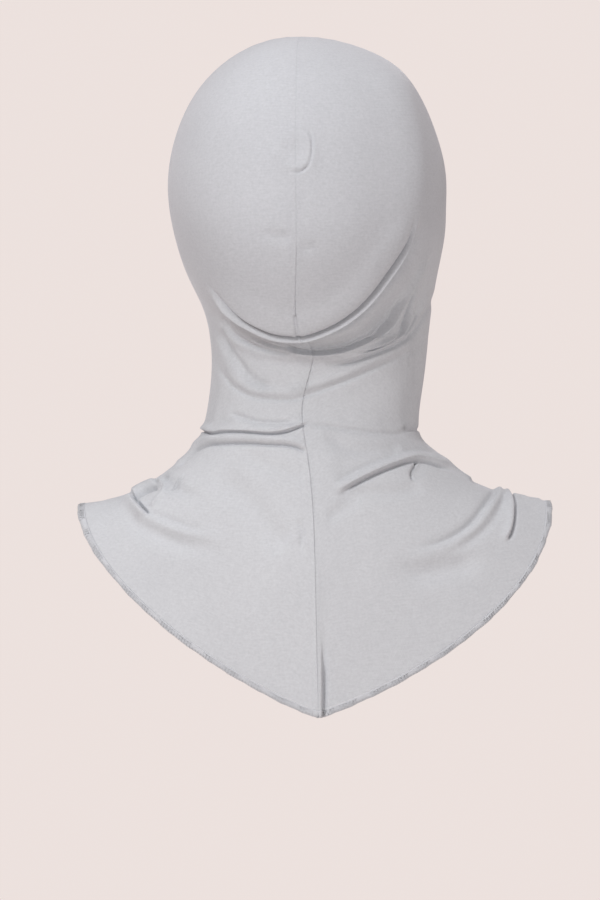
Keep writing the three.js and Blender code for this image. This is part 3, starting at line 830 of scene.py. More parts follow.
    @staticmethod
    def shift(values: Array, place: Array) -> None:
        """Takes a line of values over to new places along itself."""
        values[:] = np.interp(place, np.arange(len(values)), values.copy())

    def stop_at_hem(self, section: Array, turn: Array) -> Array:
        """Ends the cloth where the overlocked edge starts.

        Args:
            section: sections of the grid's points.
            turn: their turns.

        Returns:
            The sections as they end.
        """
        form, sizes = self.form, self.form.sizes
        squeezed = form.hem - self.hem_sections
        hem, step = np.full_like(turn, form.hem), 0.5
        length = np.linalg.norm(form.plain(hem, turn) - form.plain(hem - step, turn), axis=-1) / step
        end = form.hem - (sizes.hem_width + sizes.trim_gap) / length
        return np.where(section > squeezed, mix(squeezed, end, (section - squeezed) / self.hem_sections), section)

    def facing(self, points: Array) -> Array:
        """Works out which way the cloth faces at each point.

        Args:
            points: the points of the whole grid.

        Returns:
            A unit vector for each, the same for both halves where they meet in front.
        """
        down = np.gradient(points, axis=0)
        round_it = np.gradient(points, axis=1)
        rows = np.arange(len(points))
        closed = (rows <= self.top_row) | (rows >= self.foot_row)
        joined = (points[:, 1] - points[:, -2]) / 2
        round_it[closed, 0] = round_it[closed, -1] = joined[closed]
        outwards = unit(np.cross(round_it, down))
        outwards[0] = (0, 0, 1)
        outwards[:, 0] = np.where(closed[:, None], unit(outwards[:, 0] + outwards[:, -1]), outwards[:, 0])
        outwards[:, -1] = np.where(closed[:, None], outwards[:, 0], outwards[:, -1])
        return outwards

    def sew(self, points: Array, outwards: Array) -> Array:
        """Draws the cloth in along its seams, in a fine groove with small puckers beside it.

        Args:
            points: the folded cloth's outer face.
            outwards: which way it faces.

        Returns:
            The sewn cloth's outer face.
        """
        middle = self.half
        run = np.cumsum(np.linalg.norm(np.diff(points[:, middle], axis=0, prepend=points[:1, middle]), axis=1))
        pitches = run / self.pucker_pitch
        wave = np.sin(2 * np.pi * pitches) * np.sin(self.pucker_drift * pitches)
        from_back = np.linalg.norm(points - points[:, middle : middle + 1], axis=-1)
        from_front = np.linalg.norm(points - points[:, :1], axis=-1)
        from_front = np.minimum(from_front, np.linalg.norm(points - points[:, -1:], axis=-1))
        rows = np.arange(len(points))[:, None]
        closed = (rows <= self.top_row) | (rows >= self.foot_row)
        from_front = np.where(closed, from_front, 1.0)
        away = np.minimum(from_back, from_front)
        depth = mix(self.crown_groove, self.neck_groove, smooth(*self.crown_to_neck, self.section))
        depth = mix(depth, self.bib_groove, smooth(*self.neck_to_bib, self.section))
        groove = -depth * np.exp(-((away / self.groove_width) ** 2))
        pucker = self.pucker_depth * wave[:, None] * np.exp(-((away / self.pucker_reach) ** 2))
        turned = np.where(self.turn > 0, self.imprint, 0)
        turned = turned * mix(self.imprint_on_crown, 1, smooth(*self.imprint_grows, self.section))
        edge = self.imprint_width * self.imprint_edge
        turned = turned * (1 - smooth(self.imprint_width - edge, self.imprint_width + edge, away))
        return points + outwards * (groove + pucker + turned)[..., None]


def mesh_object(
    name: str, points: Array, faces: list[tuple[int, ...]], uvs: Array | None = None
) -> bpy.types.Object:
    """Makes a smooth mesh object from points and faces.

    Args:
        name: the object's name.
        points: its vertices, in metres in the row's frame.
        faces: tuples of vertex numbers.
        uvs: each vertex's place on the cloth, in metres, if it has one.

    Returns:
        The new object, linked to the scene.
    """
    mesh = bpy.data.meshes.new(name)
    mesh.from_pydata(points.tolist(), [], faces)
    mesh.polygons.foreach_set("use_smooth", np.ones(len(mesh.polygons), bool))
    if uvs is not None:
        layer = mesh.uv_layers.new(name="cloth")
        corners = np.zeros(len(mesh.loops), np.int32)
        mesh.loops.foreach_get("vertex_index", corners)
        layer.uv.foreach_set("vector", uvs[corners].astype(np.float32).ravel())
    mesh.validate()
    mesh.update()
    made = bpy.data.objects.new(name, mesh)
    bpy.context.scene.collection.objects.link(made)
    return made


def ring_faces(stations: int, sides: int, closed: bool) -> list[tuple[int, ...]]:
    """Joins rings of points, one after the other, into the faces of a strip.

    Args:
        stations: how many rings there are.
        sides: how many points each has.
        closed: whether the last ring joins the first.

    Returns:
        The strip's faces, with a cap at each end of an open one.
    """
    faces: list[tuple[int, ...]] = []
    for i in range(stations if closed else stations - 1):
        here, after = i * sides, (i + 1) % stations * sides
        for j in range(sides):
            k = (j + 1) % sides
            faces.append((here + j, here + k, after + k, after + j))
    if not closed:
        faces.append(tuple(range(sides - 1, -1, -1)))
        faces.append(tuple((stations - 1) * sides + j for j in range(sides)))
    return faces


@dataclass(frozen=True)
class Jersey:
    """Fine viscose jersey: its colour, its sheen and the size of its stitches.

    The tone goes from shade to colour. Clouds, slubs along the yarn, flecks and fuzz add to it, each with its size
    and its share. The painted crown shade is what the colour is multiplied by over the crown: shade painted into the
    colour, which darkens the crown against the neck and the bib.
    """

    name: str = "jersey"
    color: tuple[float, float, float] = (0.51, 0.531, 0.562)
    shade: tuple[float, float, float] = (0.435, 0.453, 0.483)
    # Painted shade over the crown: the colour there is multiplied by this.
    painted_crown_shade: tuple[float, float, float] = (0.93, 0.93, 0.94)
    roughness: float = 0.78
    specular: float = 0.32
    sheen: float = 0.3
    sheen_roughness: float = 0.45
    sheen_tint: tuple[float, float, float] = (0.93, 0.93, 1.0)
    wale: float = 0.85 * MM
    wale_waver: float = 0.6
    course: float = 0.62 * MM
    course_waver: float = 0.9
    stitch_relief: float = 0.05 * MM
    crumple: float = 0.22 * MM
    crumple_size: float = 14 * MM
    cloud_size: float = 45 * MM
    cloud_share: float = 0.2
    slub_size: float = 1.1 * MM
    slub_squeeze: float = 0.2
    slub_share: float = 0.4
    fleck_size: float = 1.5 * MM
    fleck_share: float = 0.5
    fuzz_size: float = 0.5 * MM
    fuzz_share: float = 0.25
    tone_shift: float = -0.15
    tone_ends: tuple[float, float] = (0.34, 0.7)

    def material(self) -> bpy.types.Material:
        """Builds the node material, on the piece's own cloth map.

        Returns:
            The material.
        """
        material, tree, shader = new_material(self.name)
        shader.inputs["Roughness"].default_value = self.roughness
        shader.inputs["Sheen Weight"].default_value = self.sheen
        shader.inputs["Sheen Roughness"].default_value = self.sheen_roughness
        shader.inputs["Sheen Tint"].default_value = (*self.sheen_tint, 1)
        shader.inputs["Specular IOR Level"].default_value = self.specular
        uv = tree.nodes.new("ShaderNodeUVMap")
        uv.uv_map = "cloth"
        coordinates = tree.nodes.new("ShaderNodeTexCoord")
        color = self.color_of(tree, uv.outputs["UV"], coordinates.outputs["Object"])
        tree.links.new(color, shader.inputs["Base Color"])
        wales = band_texture(tree, uv.outputs["UV"], "X", self.wale, self.wale_waver)
        courses = band_texture(tree, uv.outputs["UV"], "Y", self.course, self.course_waver)
        stitches = math_node(tree, "MULTIPLY", wales, courses)
        crumples = noise_texture(tree, coordinates.outputs["Object"], 1 / self.crumple_size, 4)
        knit_bump = bump_node(tree, stitches, self.stitch_relief, None)
        soft_bump = bump_node(tree, crumples, self.crumple, knit_bump)
        tree.links.new(soft_bump, shader.inputs["Normal"])
        return material

    def color_of(
        self, tree: bpy.types.NodeTree, on_cloth: bpy.types.NodeSocket, in_space: bpy.types.NodeSocket
    ) -> bpy.types.NodeSocket:
        """Adds the nodes that colour the cloth.

        Args:
            tree: the material's tree.
            on_cloth: the place on the cloth map.
            in_space: the place in the piece's own space.

        Returns:
            The colour.
        """
        fuzz = noise_texture(tree, on_cloth, 1 / self.fuzz_size, 2)
        clouds = noise_texture(tree, in_space, 1 / self.cloud_size, 3)
        flecks = noise_texture(tree, in_space, 1 / self.fleck_size, 2)
        along = tree.nodes.new("ShaderNodeMapping")
        along.inputs["Scale"].default_value = (self.slub_squeeze, 1, 1)
        tree.links.new(on_cloth, along.inputs["Vector"])
        slubs = noise_texture(tree, along.outputs["Vector"], 1 / self.slub_size, 2)
        tone = self.tone_shift
        shares = (self.fuzz_share, self.fleck_share, self.slub_share, self.cloud_share)
        for layer, share in zip((fuzz, flecks, slubs, clouds), shares):
            tone = math_node(tree, "MULTIPLY_ADD", layer, share, tone)
        ramp = tree.nodes.new("ShaderNodeValToRGB")
        for step, place, color in zip(ramp.color_ramp.elements, self.tone_ends, (self.shade, self.color)):
            step.position = place
            step.color = (*color, 1)
        tree.links.new(tone, ramp.inputs["Fac"])
        # Paints shade over the crown: multiplies the colour by the painted crown shade where the panels' mask is 1.
        crown_shade_mask = tree.nodes.new("ShaderNodeAttribute")
        crown_shade_mask.attribute_name = "crown_shade_mask"
        opened = tree.nodes.new("ShaderNodeMix")
        opened.data_type = "RGBA"
        opened.blend_type = "MULTIPLY"
        opened.inputs["B"].default_value = (*self.painted_crown_shade, 1)
        tree.links.new(crown_shade_mask.outputs["Fac"], opened.inputs["Factor"])
        tree.links.new(ramp.outputs["Color"], opened.inputs["A"])
        return opened.outputs["Result"]


@dataclass(frozen=True)
class Thread:
    """Spun polyester sewing thread."""

    name: str = "overlock_thread"
    color: tuple[float, float, float] = (0.54, 0.555, 0.585)
    shade_share: float = 0.86
    shade_size: float = 6 * MM
    roughness: float = 0.62
    sheen: float = 0.2
    twist: float = 0.25 * MM
    twist_relief: float = 0.04 * MM

    def material(self) -> bpy.types.Material:
        """Builds the node material, with the thread's twist and small changes of tone.

        Returns:
            The material.
        """
        material, tree, shader = new_material(self.name)
        shader.inputs["Roughness"].default_value = self.roughness
        shader.inputs["Sheen Weight"].default_value = self.sheen
        coordinates = tree.nodes.new("ShaderNodeTexCoord")
        tone = noise_texture(tree, coordinates.outputs["Object"], 1 / self.shade_size, 2)
        shade = tuple(self.shade_share * part for part in self.color)
        tree.links.new(two_tones(tree, tone, shade, self.color), shader.inputs["Base Color"])
        twist = noise_texture(tree, coordinates.outputs["Object"], 1 / self.twist, 1)
        tree.links.new(bump_node(tree, twist, self.twist_relief, None), shader.inputs["Normal"])
        return material


def new_material(name: str) -> tuple[bpy.types.Material, bpy.types.NodeTree, bpy.types.Node]:
    """Makes an empty node material and gives it, its tree and its main shader.

    Args:
        name: the material's name.

    Returns:
        The material, its tree and its main shader.
    """
    material = bpy.data.materials.new(name)
    material.use_nodes = True
    return material, material.node_tree, material.node_tree.nodes["Principled BSDF"]


def two_tones(
    tree: bpy.types.NodeTree, tone: bpy.types.NodeSocket, shade: Sequence[float], color: Sequence[float]
) -> bpy.types.NodeSocket:
    """Adds a ramp that goes from shade to colour as the tone rises, and gives its colour.

    Args:
        tree: the tree under construction.
        tone: the tone, from 0 to 1.
        shade: the colour at 0.
        color: the colour at 1.

    Returns:
        The colour.
    """
    ramp = tree.nodes.new("ShaderNodeValToRGB")
    ramp.color_ramp.elements[0].color = (*shade, 1)
    ramp.color_ramp.elements[1].color = (*color, 1)
    tree.links.new(tone, ramp.inputs["Fac"])
    return ramp.outputs["Color"]


# A wave texture's bands are this far apart at scale 1, and this is how fine its waver is.
BAND_PITCH = math.pi / 10
BAND_DETAIL = 1.5


def band_texture(
    tree: bpy.types.NodeTree, vector: bpy.types.NodeSocket, axis: str, pitch: float, distortion: float
) -> bpy.types.NodeSocket:
    """Adds parallel bands, so many metres apart, and gives their height.

    Args:
        tree: the tree under construction.
        vector: the place to look up.
        axis: the axis that the bands cross.
        pitch: metres from band to band.
        distortion: how much the bands waver.

    Returns:
        The bands' height.
    """
    wave = tree.nodes.new("ShaderNodeTexWave")
    wave.bands_direction = axis
    wave.inputs["Scale"].default_value = BAND_PITCH / pitch
    wave.inputs["Distortion"].default_value = distortion
    wave.inputs["Detail Scale"].default_value = BAND_DETAIL
    tree.links.new(vector, wave.inputs["Vector"])
    return wave.outputs["Fac"]


def noise_texture(
    tree: bpy.types.NodeTree, vector: bpy.types.NodeSocket, scale: float, detail: float
) -> bpy.types.NodeSocket:
    """Adds noise of a given scale and gives its value.

    Args:
        tree: the tree under construction.
        vector: the place to look up.
        scale: how many cells a metre has.
        detail: how many finer layers it has.

    Returns:
        The noise's value.
    """
    noise = tree.nodes.new("ShaderNodeTexNoise")
    noise.inputs["Scale"].default_value = scale
    noise.inputs["Detail"].default_value = detail
    tree.links.new(vector, noise.inputs["Vector"])
    return noise.outputs["Fac"]


def math_node(
    tree: bpy.types.NodeTree, operation: str, *values: bpy.types.NodeSocket | float
) -> bpy.types.NodeSocket:
    """Adds a sum of sockets and numbers and gives its result.

    Args:
        tree: the tree under construction.
        operation: the node's operation.
        *values: its sockets and numbers, in order.

    Returns:
        The result.
    """
    node = tree.nodes.new("ShaderNodeMath")
    node.operation = operation
    for slot, value in zip(node.inputs, values):
        if isinstance(value, float):
            slot.default_value = value
        else:
            tree.links.new(value, slot)
    return node.outputs["Value"]


def bump_node(
    tree: bpy.types.NodeTree,
    height: bpy.types.NodeSocket,
    distance: float,
    under: bpy.types.NodeSocket | None,
) -> bpy.types.NodeSocket:
    """Adds a bump of a given depth over another and gives its normal.

    Args:
        tree: the tree under construction.
        height: the height, from 0 to 1.
        distance: the depth, in metres.
        under: the normal of the bump beneath, if there is one.

    Returns:
        The normal.
    """
    bump = tree.nodes.new("ShaderNodeBump")
    bump.inputs["Distance"].default_value = distance
    bump.inputs["Strength"].default_value = 1.0
    tree.links.new(height, bump.inputs["Height"])
    if under is not None:
        tree.links.new(under, bump.inputs["Normal"])
    return bump.outputs["Normal"]


class Run(Enum):
    """The ways that a thread runs beside a seam or an edge."""

    ZIGZAG = "zigzag"
    DASHES = "dashes"


@dataclass
class ThreadTree:
    """A Geometry Nodes tree that sews thread along a guide line.

    The guide is a line of edges whose points hold two attributes: inward, across the cloth, and outwards, off it.
    """

    run: Run
    sides: int = 5
    stitch_rings: int = 5
    half_stitch: float = 0.44
    inputs: dict[str, str] = field(init=False, default_factory=dict)

    def build(self) -> bpy.types.NodeTree:
        """Builds the tree, with named inputs for its sizes.

        Returns:
            The tree.
        """
        tree = bpy.data.node_groups.new(f"thread_{self.run.value}", "GeometryNodeTree")
        face = tree.interface
        face.new_socket("Geometry", in_out="INPUT", socket_type="NodeSocketGeometry")
        for label in ("Pitch", "Inset", "Width", "Lift", "Radius"):
            socket = face.new_socket(label, in_out="INPUT", socket_type="NodeSocketFloat")
            self.inputs[label] = socket.identifier
        self.inputs["Thread"] = face.new_socket(
            "Thread", in_out="INPUT", socket_type="NodeSocketMaterial"
        ).identifier
        face.new_socket("Geometry", in_out="OUTPUT", socket_type="NodeSocketGeometry")
        start = tree.nodes.new("NodeGroupInput")
        end = tree.nodes.new("NodeGroupOutput")
        line = tree.nodes.new("GeometryNodeMeshToCurve")
        tree.links.new(start.outputs["Geometry"], line.inputs["Mesh"])
        sewn = self.zigzag(tree, start, line) if self.run is Run.ZIGZAG else self.dashes(tree, start, line)
        real = tree.nodes.new("GeometryNodeRealizeInstances")
        dress = tree.nodes.new("GeometryNodeSetMaterial")
        tree.links.new(sewn, real.inputs["Geometry"])
        tree.links.new(real.outputs["Geometry"], dress.inputs["Geometry"])
        tree.links.new(start.outputs["Thread"], dress.inputs["Material"])
        tree.links.new(dress.outputs["Geometry"], end.inputs["Geometry"])
        return tree

    def shifted(
        self,
        tree: bpy.types.NodeTree,
        start: bpy.types.Node,
        curve: bpy.types.NodeSocket,
        inward: bpy.types.NodeSocket,
    ) -> bpy.types.NodeSocket:
        """Moves a curve across the cloth and lifts it off the face.

        Args:
            tree: the tree under construction.
            start: its group input.
            curve: the curve to move.
            inward: how far each of its points goes inward.

        Returns:
            The moved curve.
        """
        moves = []
        for name, amount in (("inward", inward), ("outwards", start.outputs["Lift"])):
            way = tree.nodes.new("GeometryNodeInputNamedAttribute")
            way.data_type = "FLOAT_VECTOR"
            way.inputs["Name"].default_value = name
            scaled = tree.nodes.new("ShaderNodeVectorMath")
            scaled.operation = "SCALE"
            tree.links.new(way.outputs["Attribute"], scaled.inputs[0])
            tree.links.new(amount, scaled.inputs["Scale"])
            moves.append(scaled.outputs["Vector"])
        total = tree.nodes.new("ShaderNodeVectorMath")
        tree.links.new(moves[0], total.inputs[0])
        tree.links.new(moves[1], total.inputs[1])
        moved = tree.nodes.new("GeometryNodeSetPosition")
        tree.links.new(curve, moved.inputs["Geometry"])
        tree.links.new(total.outputs["Vector"], moved.inputs["Offset"])
        return moved.outputs["Geometry"]

    def resampled(
        self, tree: bpy.types.NodeTree, line: bpy.types.Node, length: bpy.types.NodeSocket
    ) -> bpy.types.NodeSocket:
        """Divides the guide line into steps of one length.

        Args:
            tree: the tree under construction.
            line: the node that makes the line.
            length: the length of a step.

        Returns:
            The divided line.
        """
        even = tree.nodes.new("GeometryNodeResampleCurve")
        even.mode = "LENGTH"
        tree.links.new(line.outputs["Curve"], even.inputs["Curve"])
        tree.links.new(length, even.inputs["Length"])
        return even.outputs["Curve"]

    def zigzag(
        self, tree: bpy.types.NodeTree, start: bpy.types.Node, line: bpy.types.Node
    ) -> bpy.types.NodeSocket:
        """Runs one thread to and fro across the width.

        Args:
            tree: the tree under construction.
            start: its group input.
            line: the node that makes the guide line.

        Returns:
            The thread.
        """
        half = math_node(tree, "MULTIPLY", start.outputs["Pitch"], 0.5)
        even = self.resampled(tree, line, half)
        index = tree.nodes.new("GeometryNodeInputIndex")
        odd = math_node(tree, "MODULO", index.outputs["Index"], 2.0)
        across = math_node(tree, "MULTIPLY_ADD", odd, start.outputs["Width"], start.outputs["Inset"])
        moved = self.shifted(tree, start, even, across)
        circle = tree.nodes.new("GeometryNodeCurvePrimitiveCircle")
        circle.inputs["Resolution"].default_value = self.sides
        tree.links.new(start.outputs["Radius"], circle.inputs["Radius"])
        tube = tree.nodes.new("GeometryNodeCurveToMesh")
        tube.inputs["Fill Caps"].default_value = True
        tree.links.new(moved, tube.inputs["Curve"])
        tree.links.new(circle.outputs["Curve"], tube.inputs["Profile Curve"])
        return tube.outputs["Mesh"]

    def dashes(
        self, tree: bpy.types.NodeTree, start: bpy.types.Node, line: bpy.types.Node
    ) -> bpy.types.NodeSocket:
        """Sets one short stitch on each step of the line.

        Args:
            tree: the tree under construction.
            start: its group input.
            line: the node that makes the guide line.

        Returns:
            The stitches.
        """
        even = self.resampled(tree, line, start.outputs["Pitch"])
        moved = self.shifted(tree, start, even, start.outputs["Inset"])
        points = tree.nodes.new("GeometryNodeCurveToPoints")
        points.mode = "EVALUATED"
        tree.links.new(moved, points.inputs["Curve"])
        stitch = tree.nodes.new("GeometryNodeMeshUVSphere")
        stitch.inputs["Segments"].default_value = self.sides + 1
        stitch.inputs["Rings"].default_value = self.stitch_rings
        size = tree.nodes.new("ShaderNodeCombineXYZ")
        length = math_node(tree, "MULTIPLY", start.outputs["Pitch"], self.half_stitch)
        tree.links.new(start.outputs["Radius"], size.inputs["X"])
        tree.links.new(start.outputs["Radius"], size.inputs["Y"])
        tree.links.new(length, size.inputs["Z"])
        placed = tree.nodes.new("GeometryNodeInstanceOnPoints")
        tree.links.new(points.outputs["Points"], placed.inputs["Points"])
        tree.links.new(stitch.outputs["Mesh"], placed.inputs["Instance"])
        tree.links.new(points.outputs["Rotation"], placed.inputs["Rotation"])
        tree.links.new(size.outputs["Vector"], placed.inputs["Scale"])
        return placed.outputs["Instances"]


@dataclass
class Sewing:
    """Sews threads along guide lines and gathers them into one piece."""

    thread: bpy.types.Material
    trees: dict[Run, tuple[bpy.types.NodeTree, ThreadTree]] = field(init=False, default_factory=dict)
    sewn: list[bpy.types.Object] = field(init=False, default_factory=list)

    def sew(
        self, run: Run, line: Array, inward: Array, outwards: Array, closed: bool, **sizes: float
    ) -> None:
        """Sews one thread.

        Args:
            run: how the thread runs.
            line: the guide line's points.
            inward: the direction across the cloth at each.
            outwards: the direction off the cloth at each.
            closed: whether the line is a ring.
            **sizes: the tree's inputs by name, in metres.
        """
        if run not in self.trees:
            maker = ThreadTree(run)
            self.trees[run] = (maker.build(), maker)
        tree, maker = self.trees[run]
        count = len(line)
        edges = [(i, i + 1) for i in range(count - 1)] + ([(count - 1, 0)] if closed else [])
        mesh = bpy.data.meshes.new("guide")
        mesh.from_pydata(line.tolist(), edges, [])
        for name, values in (("inward", inward), ("outwards", outwards)):
            held = mesh.attributes.new(name, "FLOAT_VECTOR", "POINT")
            held.data.foreach_set("vector", np.asarray(values, np.float32).ravel())
        guide = bpy.data.objects.new("guide", mesh)
        bpy.context.scene.collection.objects.link(guide)
        modifier = guide.modifiers.new("thread", "NODES")
        modifier.node_group = tree
        for label, value in {"Inset": 0.0, "Width": 0.0, "Lift": 0.0, **sizes}.items():
            modifier[maker.inputs[label]] = value
        modifier[maker.inputs["Thread"]] = self.thread
        evaluated = guide.evaluated_get(bpy.context.evaluated_depsgraph_get())
        plain = bpy.data.meshes.new_from_object(evaluated)
        guide.modifiers.remove(modifier)
        bpy.data.objects.remove(guide)
        self.sewn.append(bpy.data.objects.new("thread", plain))

    def gather(self, name: str) -> bpy.types.Object:
        """Joins the threads sewn so far into one piece.

        Args:
            name: the piece's name.

        Returns:
            The piece, with the thread's material.
        """
        points, faces, count = [], [], 0
        for part in self.sewn:
            mesh = part.data
            spots = np.zeros(len(mesh.vertices) * 3, np.float32)
            mesh.vertices.foreach_get("co", spots)
            points.append(spots.reshape(-1, 3))
            faces += [tuple(count + i for i in face.vertices) for face in mesh.polygons]
            count += len(mesh.vertices)
            bpy.data.objects.remove(part)
        self.sewn.clear()
        piece = mesh_object(name, np.vstack(points), faces)
        piece.data.materials.append(self.thread)
        return piece


@dataclass
class Panels:
    """The two halves of jersey."""

    grid: ClothGrid
    material: bpy.types.Material
    flat_width: float = 0.27
    flat_length: float = 0.5
    flat_area: float = 0.092
    sharp_from: float = 65.0
    # The sections over which the mask of the painted crown shade fades from 1 to 0.
    crown_shade_fades: tuple[float, float] = (5.2, 6.8)

    def cloth_map(self, columns: slice) -> Array:
        """Lays the cloth out flat, in metres along its rows and columns.

        Args:
            columns: the columns of the grid that the piece takes.

        Returns:
            Each point's place on the map.
        """
        outer = self.grid.outer[:, columns]
        across = np.linalg.norm(np.diff(outer, axis=1), axis=-1)
        across = np.concatenate([np.zeros((len(outer), 1)), np.cumsum(across, axis=1)], axis=1)
        down = np.linalg.norm(np.diff(outer, axis=0), axis=-1)
        down = np.concatenate([np.zeros((1, outer.shape[1])), np.cumsum(down, axis=0)], axis=0)
        return np.stack([across, down], axis=-1)

    def shell(self, name: str, columns: slice, shift: float) -> bpy.types.Object:
        """Makes one half as a closed shell of its real thickness.

        Args:
            name: the piece's name.
            columns: the columns of the grid that it takes.
            shift: how far it keeps from the middle, along x.

        Returns:
            The piece.
        """
        outer, inner = self.grid.outer[:, columns], self.grid.inner[:, columns]
        points = np.concatenate([outer.reshape(-1, 3), inner.reshape(-1, 3)])
        points[:, 0] += shift
        places = self.cloth_map(columns).reshape(-1, 2)
        faces = self.shell_faces(*outer.shape[:2])
        used, numbered = np.unique(np.concatenate([np.array(face) for face in faces]), return_inverse=True)
        ends = np.cumsum([len(face) for face in faces])[:-1]
        faces = [tuple(face.tolist()) for face in np.split(numbered, ends)]
        piece = mesh_object(name, points[used], faces, np.concatenate([places, places])[used])
        piece.data.set_sharp_from_angle(angle=math.radians(self.sharp_from))
        # A mask for the shade painted on the crown: 1 over the upper crown, fading to 0 by the crown's lower edge.
        section = self.grid.section[:, columns].ravel()
        crown_shade_mask = 1 - smooth(*self.crown_shade_fades, np.concatenate([section, section])[used])
        held = piece.data.attributes.new("crown_shade_mask", "FLOAT", "POINT")
        held.data.foreach_set("value", crown_shade_mask.astype(np.float32))
        return piece

    def shell_faces(self, rows: int, count: int) -> list[tuple[int, ...]]:
        """Joins the points of the two faces of the cloth, and closes the rim between them.

        Args:
            rows: how many rows of points there are, of which the first is one point at the crown's top.
            count: how many points a row has.

        Returns:
            The faces, whose numbers count the outer face's points before the inner's.
        """
        front = np.arange(rows * count).reshape(rows, count)
        front[0] = front[0, 0]
        back = front + rows * count
        faces: list[tuple[int, ...]] = []
        for layer, turned in ((front, False), (back, True)):
            a, b = layer[:-1, :-1].ravel(), layer[:-1, 1:].ravel()
            d, c = layer[1:, :-1].ravel(), layer[1:, 1:].ravel()
            quads = zip(d, c, b, a) if turned else zip(a, b, c, d)
            faces += [self.trimmed(quad) for quad in quads]
        for row in range(rows - 1):
            faces.append((front[row, 0], front[row + 1, 0], back[row + 1, 0], back[row, 0]))
            faces.append((back[row, -1], back[row + 1, -1], front[row + 1, -1], front[row, -1]))
        for column in range(count - 1):
            faces.append((front[-1, column], front[-1, column + 1], back[-1, column + 1], back[-1, column]))
        return faces

    @staticmethod
    def trimmed(quad: tuple[int, ...]) -> tuple[int, ...]:
        """Drops the corner that a face at the crown's top has twice."""
        return tuple(dict.fromkeys(quad))

    def build(self) -> list[bpy.types.Object]:
        """Makes and dresses both halves.

        Returns:
            The two halves.
        """
        half, gap = self.grid.half, self.grid.form.sizes.seam_gap / 2
        left = self.shell("left_cloth", slice(half, 2 * half + 1), gap)
        right = self.shell("right_cloth", slice(0, half + 1), -gap)
        for piece, node in ((left, "left_panel"), (right, "right_panel")):
            piece.data.materials.append(self.material)
            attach(piece, "root")
            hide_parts(node)
        return [left, right]


@dataclass
class FaceBand:
    """The doubled band round the face, sewn down with two rows of stitches."""

    grid: ClothGrid
    material: bpy.types.Material
    sewing: Sewing
    steps: int = 150
    nudge: float = 0.002
    tuck: float = 0.1 * MM
    stitch: float = 2.6 * MM
    stitch_rows: tuple[float, ...] = (0.68, 0.84)
    thread: float = 0.16 * MM

    def places(self, grown: float) -> tuple[Array, Array]:
        """Gives points of a ring round the face and which way the cloth faces there.

        Args:
            grown: how far outside the opening the ring lies.

        Returns:
            The ring's points and its outward directions.
        """
        form = self.grid.form
        share = np.arange(self.steps) / self.steps
        share = np.concatenate([share, 1 - share])
        section, turn = form.face_oval(share, grown)
        side = np.repeat([-1.0, 1.0], self.steps)
        here = form.plain(section, side * turn)
        low = form.plain(section - self.nudge, side * turn)
        high = form.plain(section + self.nudge, side * turn)
        before = form.plain(section, side * (turn - self.nudge * SIDE))
        down = high - low
        forward = (here - before) * side[:, None]
        return here, unit(np.cross(forward, down))

    def cut(self, swell: float) -> tuple[tuple[float, float], ...]:
        """Gives the band's cut, from its outer face round the opening's edge to its inner face.

        Args:
            swell: how far the band stands proud of the cloth.

        Returns:
            For each corner, how far outside the opening it lies, and how high over the cloth's outer face.
        """
        sizes = self.grid.form.sizes
        width, cloth = sizes.band_width, sizes.cloth
        return (
            (width, -self.tuck), (width * 0.96, swell * 0.7), (width * 0.85, swell), (width * 0.5, swell * 1.1),
            (width * 0.15, swell), (width * 0.03, swell * 0.5), (0.0, -cloth / 2),
            (width * 0.03, -cloth - swell * 0.5), (width * 0.15, -cloth - swell), (width * 0.85, -cloth - swell),
            (width * 0.97, -cloth - swell * 0.6), (width, -cloth + self.tuck),
        )

    def build(self) -> list[bpy.types.Object]:
        """Makes the band and its stitches.

        Returns:
            The band and its stitches.
        """
        sizes = self.grid.form.sizes
        swell = (sizes.band_thickness - sizes.cloth) / 2
        width, cut = sizes.band_width, self.cut(swell)
        rings = []
        for grown, height in cut:
            points, outwards = self.places(grown)
            rings.append(points + outwards * height)
        stations = np.stack(rings, axis=1)
        run = np.linalg.norm(np.diff(stations[:, 0], axis=0, append=stations[:1, 0]), axis=-1)
        along = np.repeat(np.cumsum(run)[:, None], len(cut), axis=1)
        across = np.repeat(np.arange(len(cut))[None] * width / 5, len(stations), axis=0)
        places = np.stack([across, along], axis=-1).reshape(-1, 2)
        faces = [face[::-1] for face in ring_faces(len(stations), len(cut), True)]
        band = mesh_object("face_binding", stations.reshape(-1, 3), faces, places)
        band.data.materials.append(self.material)
        for share in self.stitch_rows:
            line, outwards = self.places(width * share)
            self.sewing.sew(
                Run.DASHES, line, outwards, outwards, True,
                Pitch=self.stitch, Lift=swell * 1.15, Radius=self.thread,
            )
        stitches = self.sewing.gather("face_stitches")
        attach(band, "root")
        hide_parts("face_band")
        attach(stitches, "root")
        return [band, stitches]


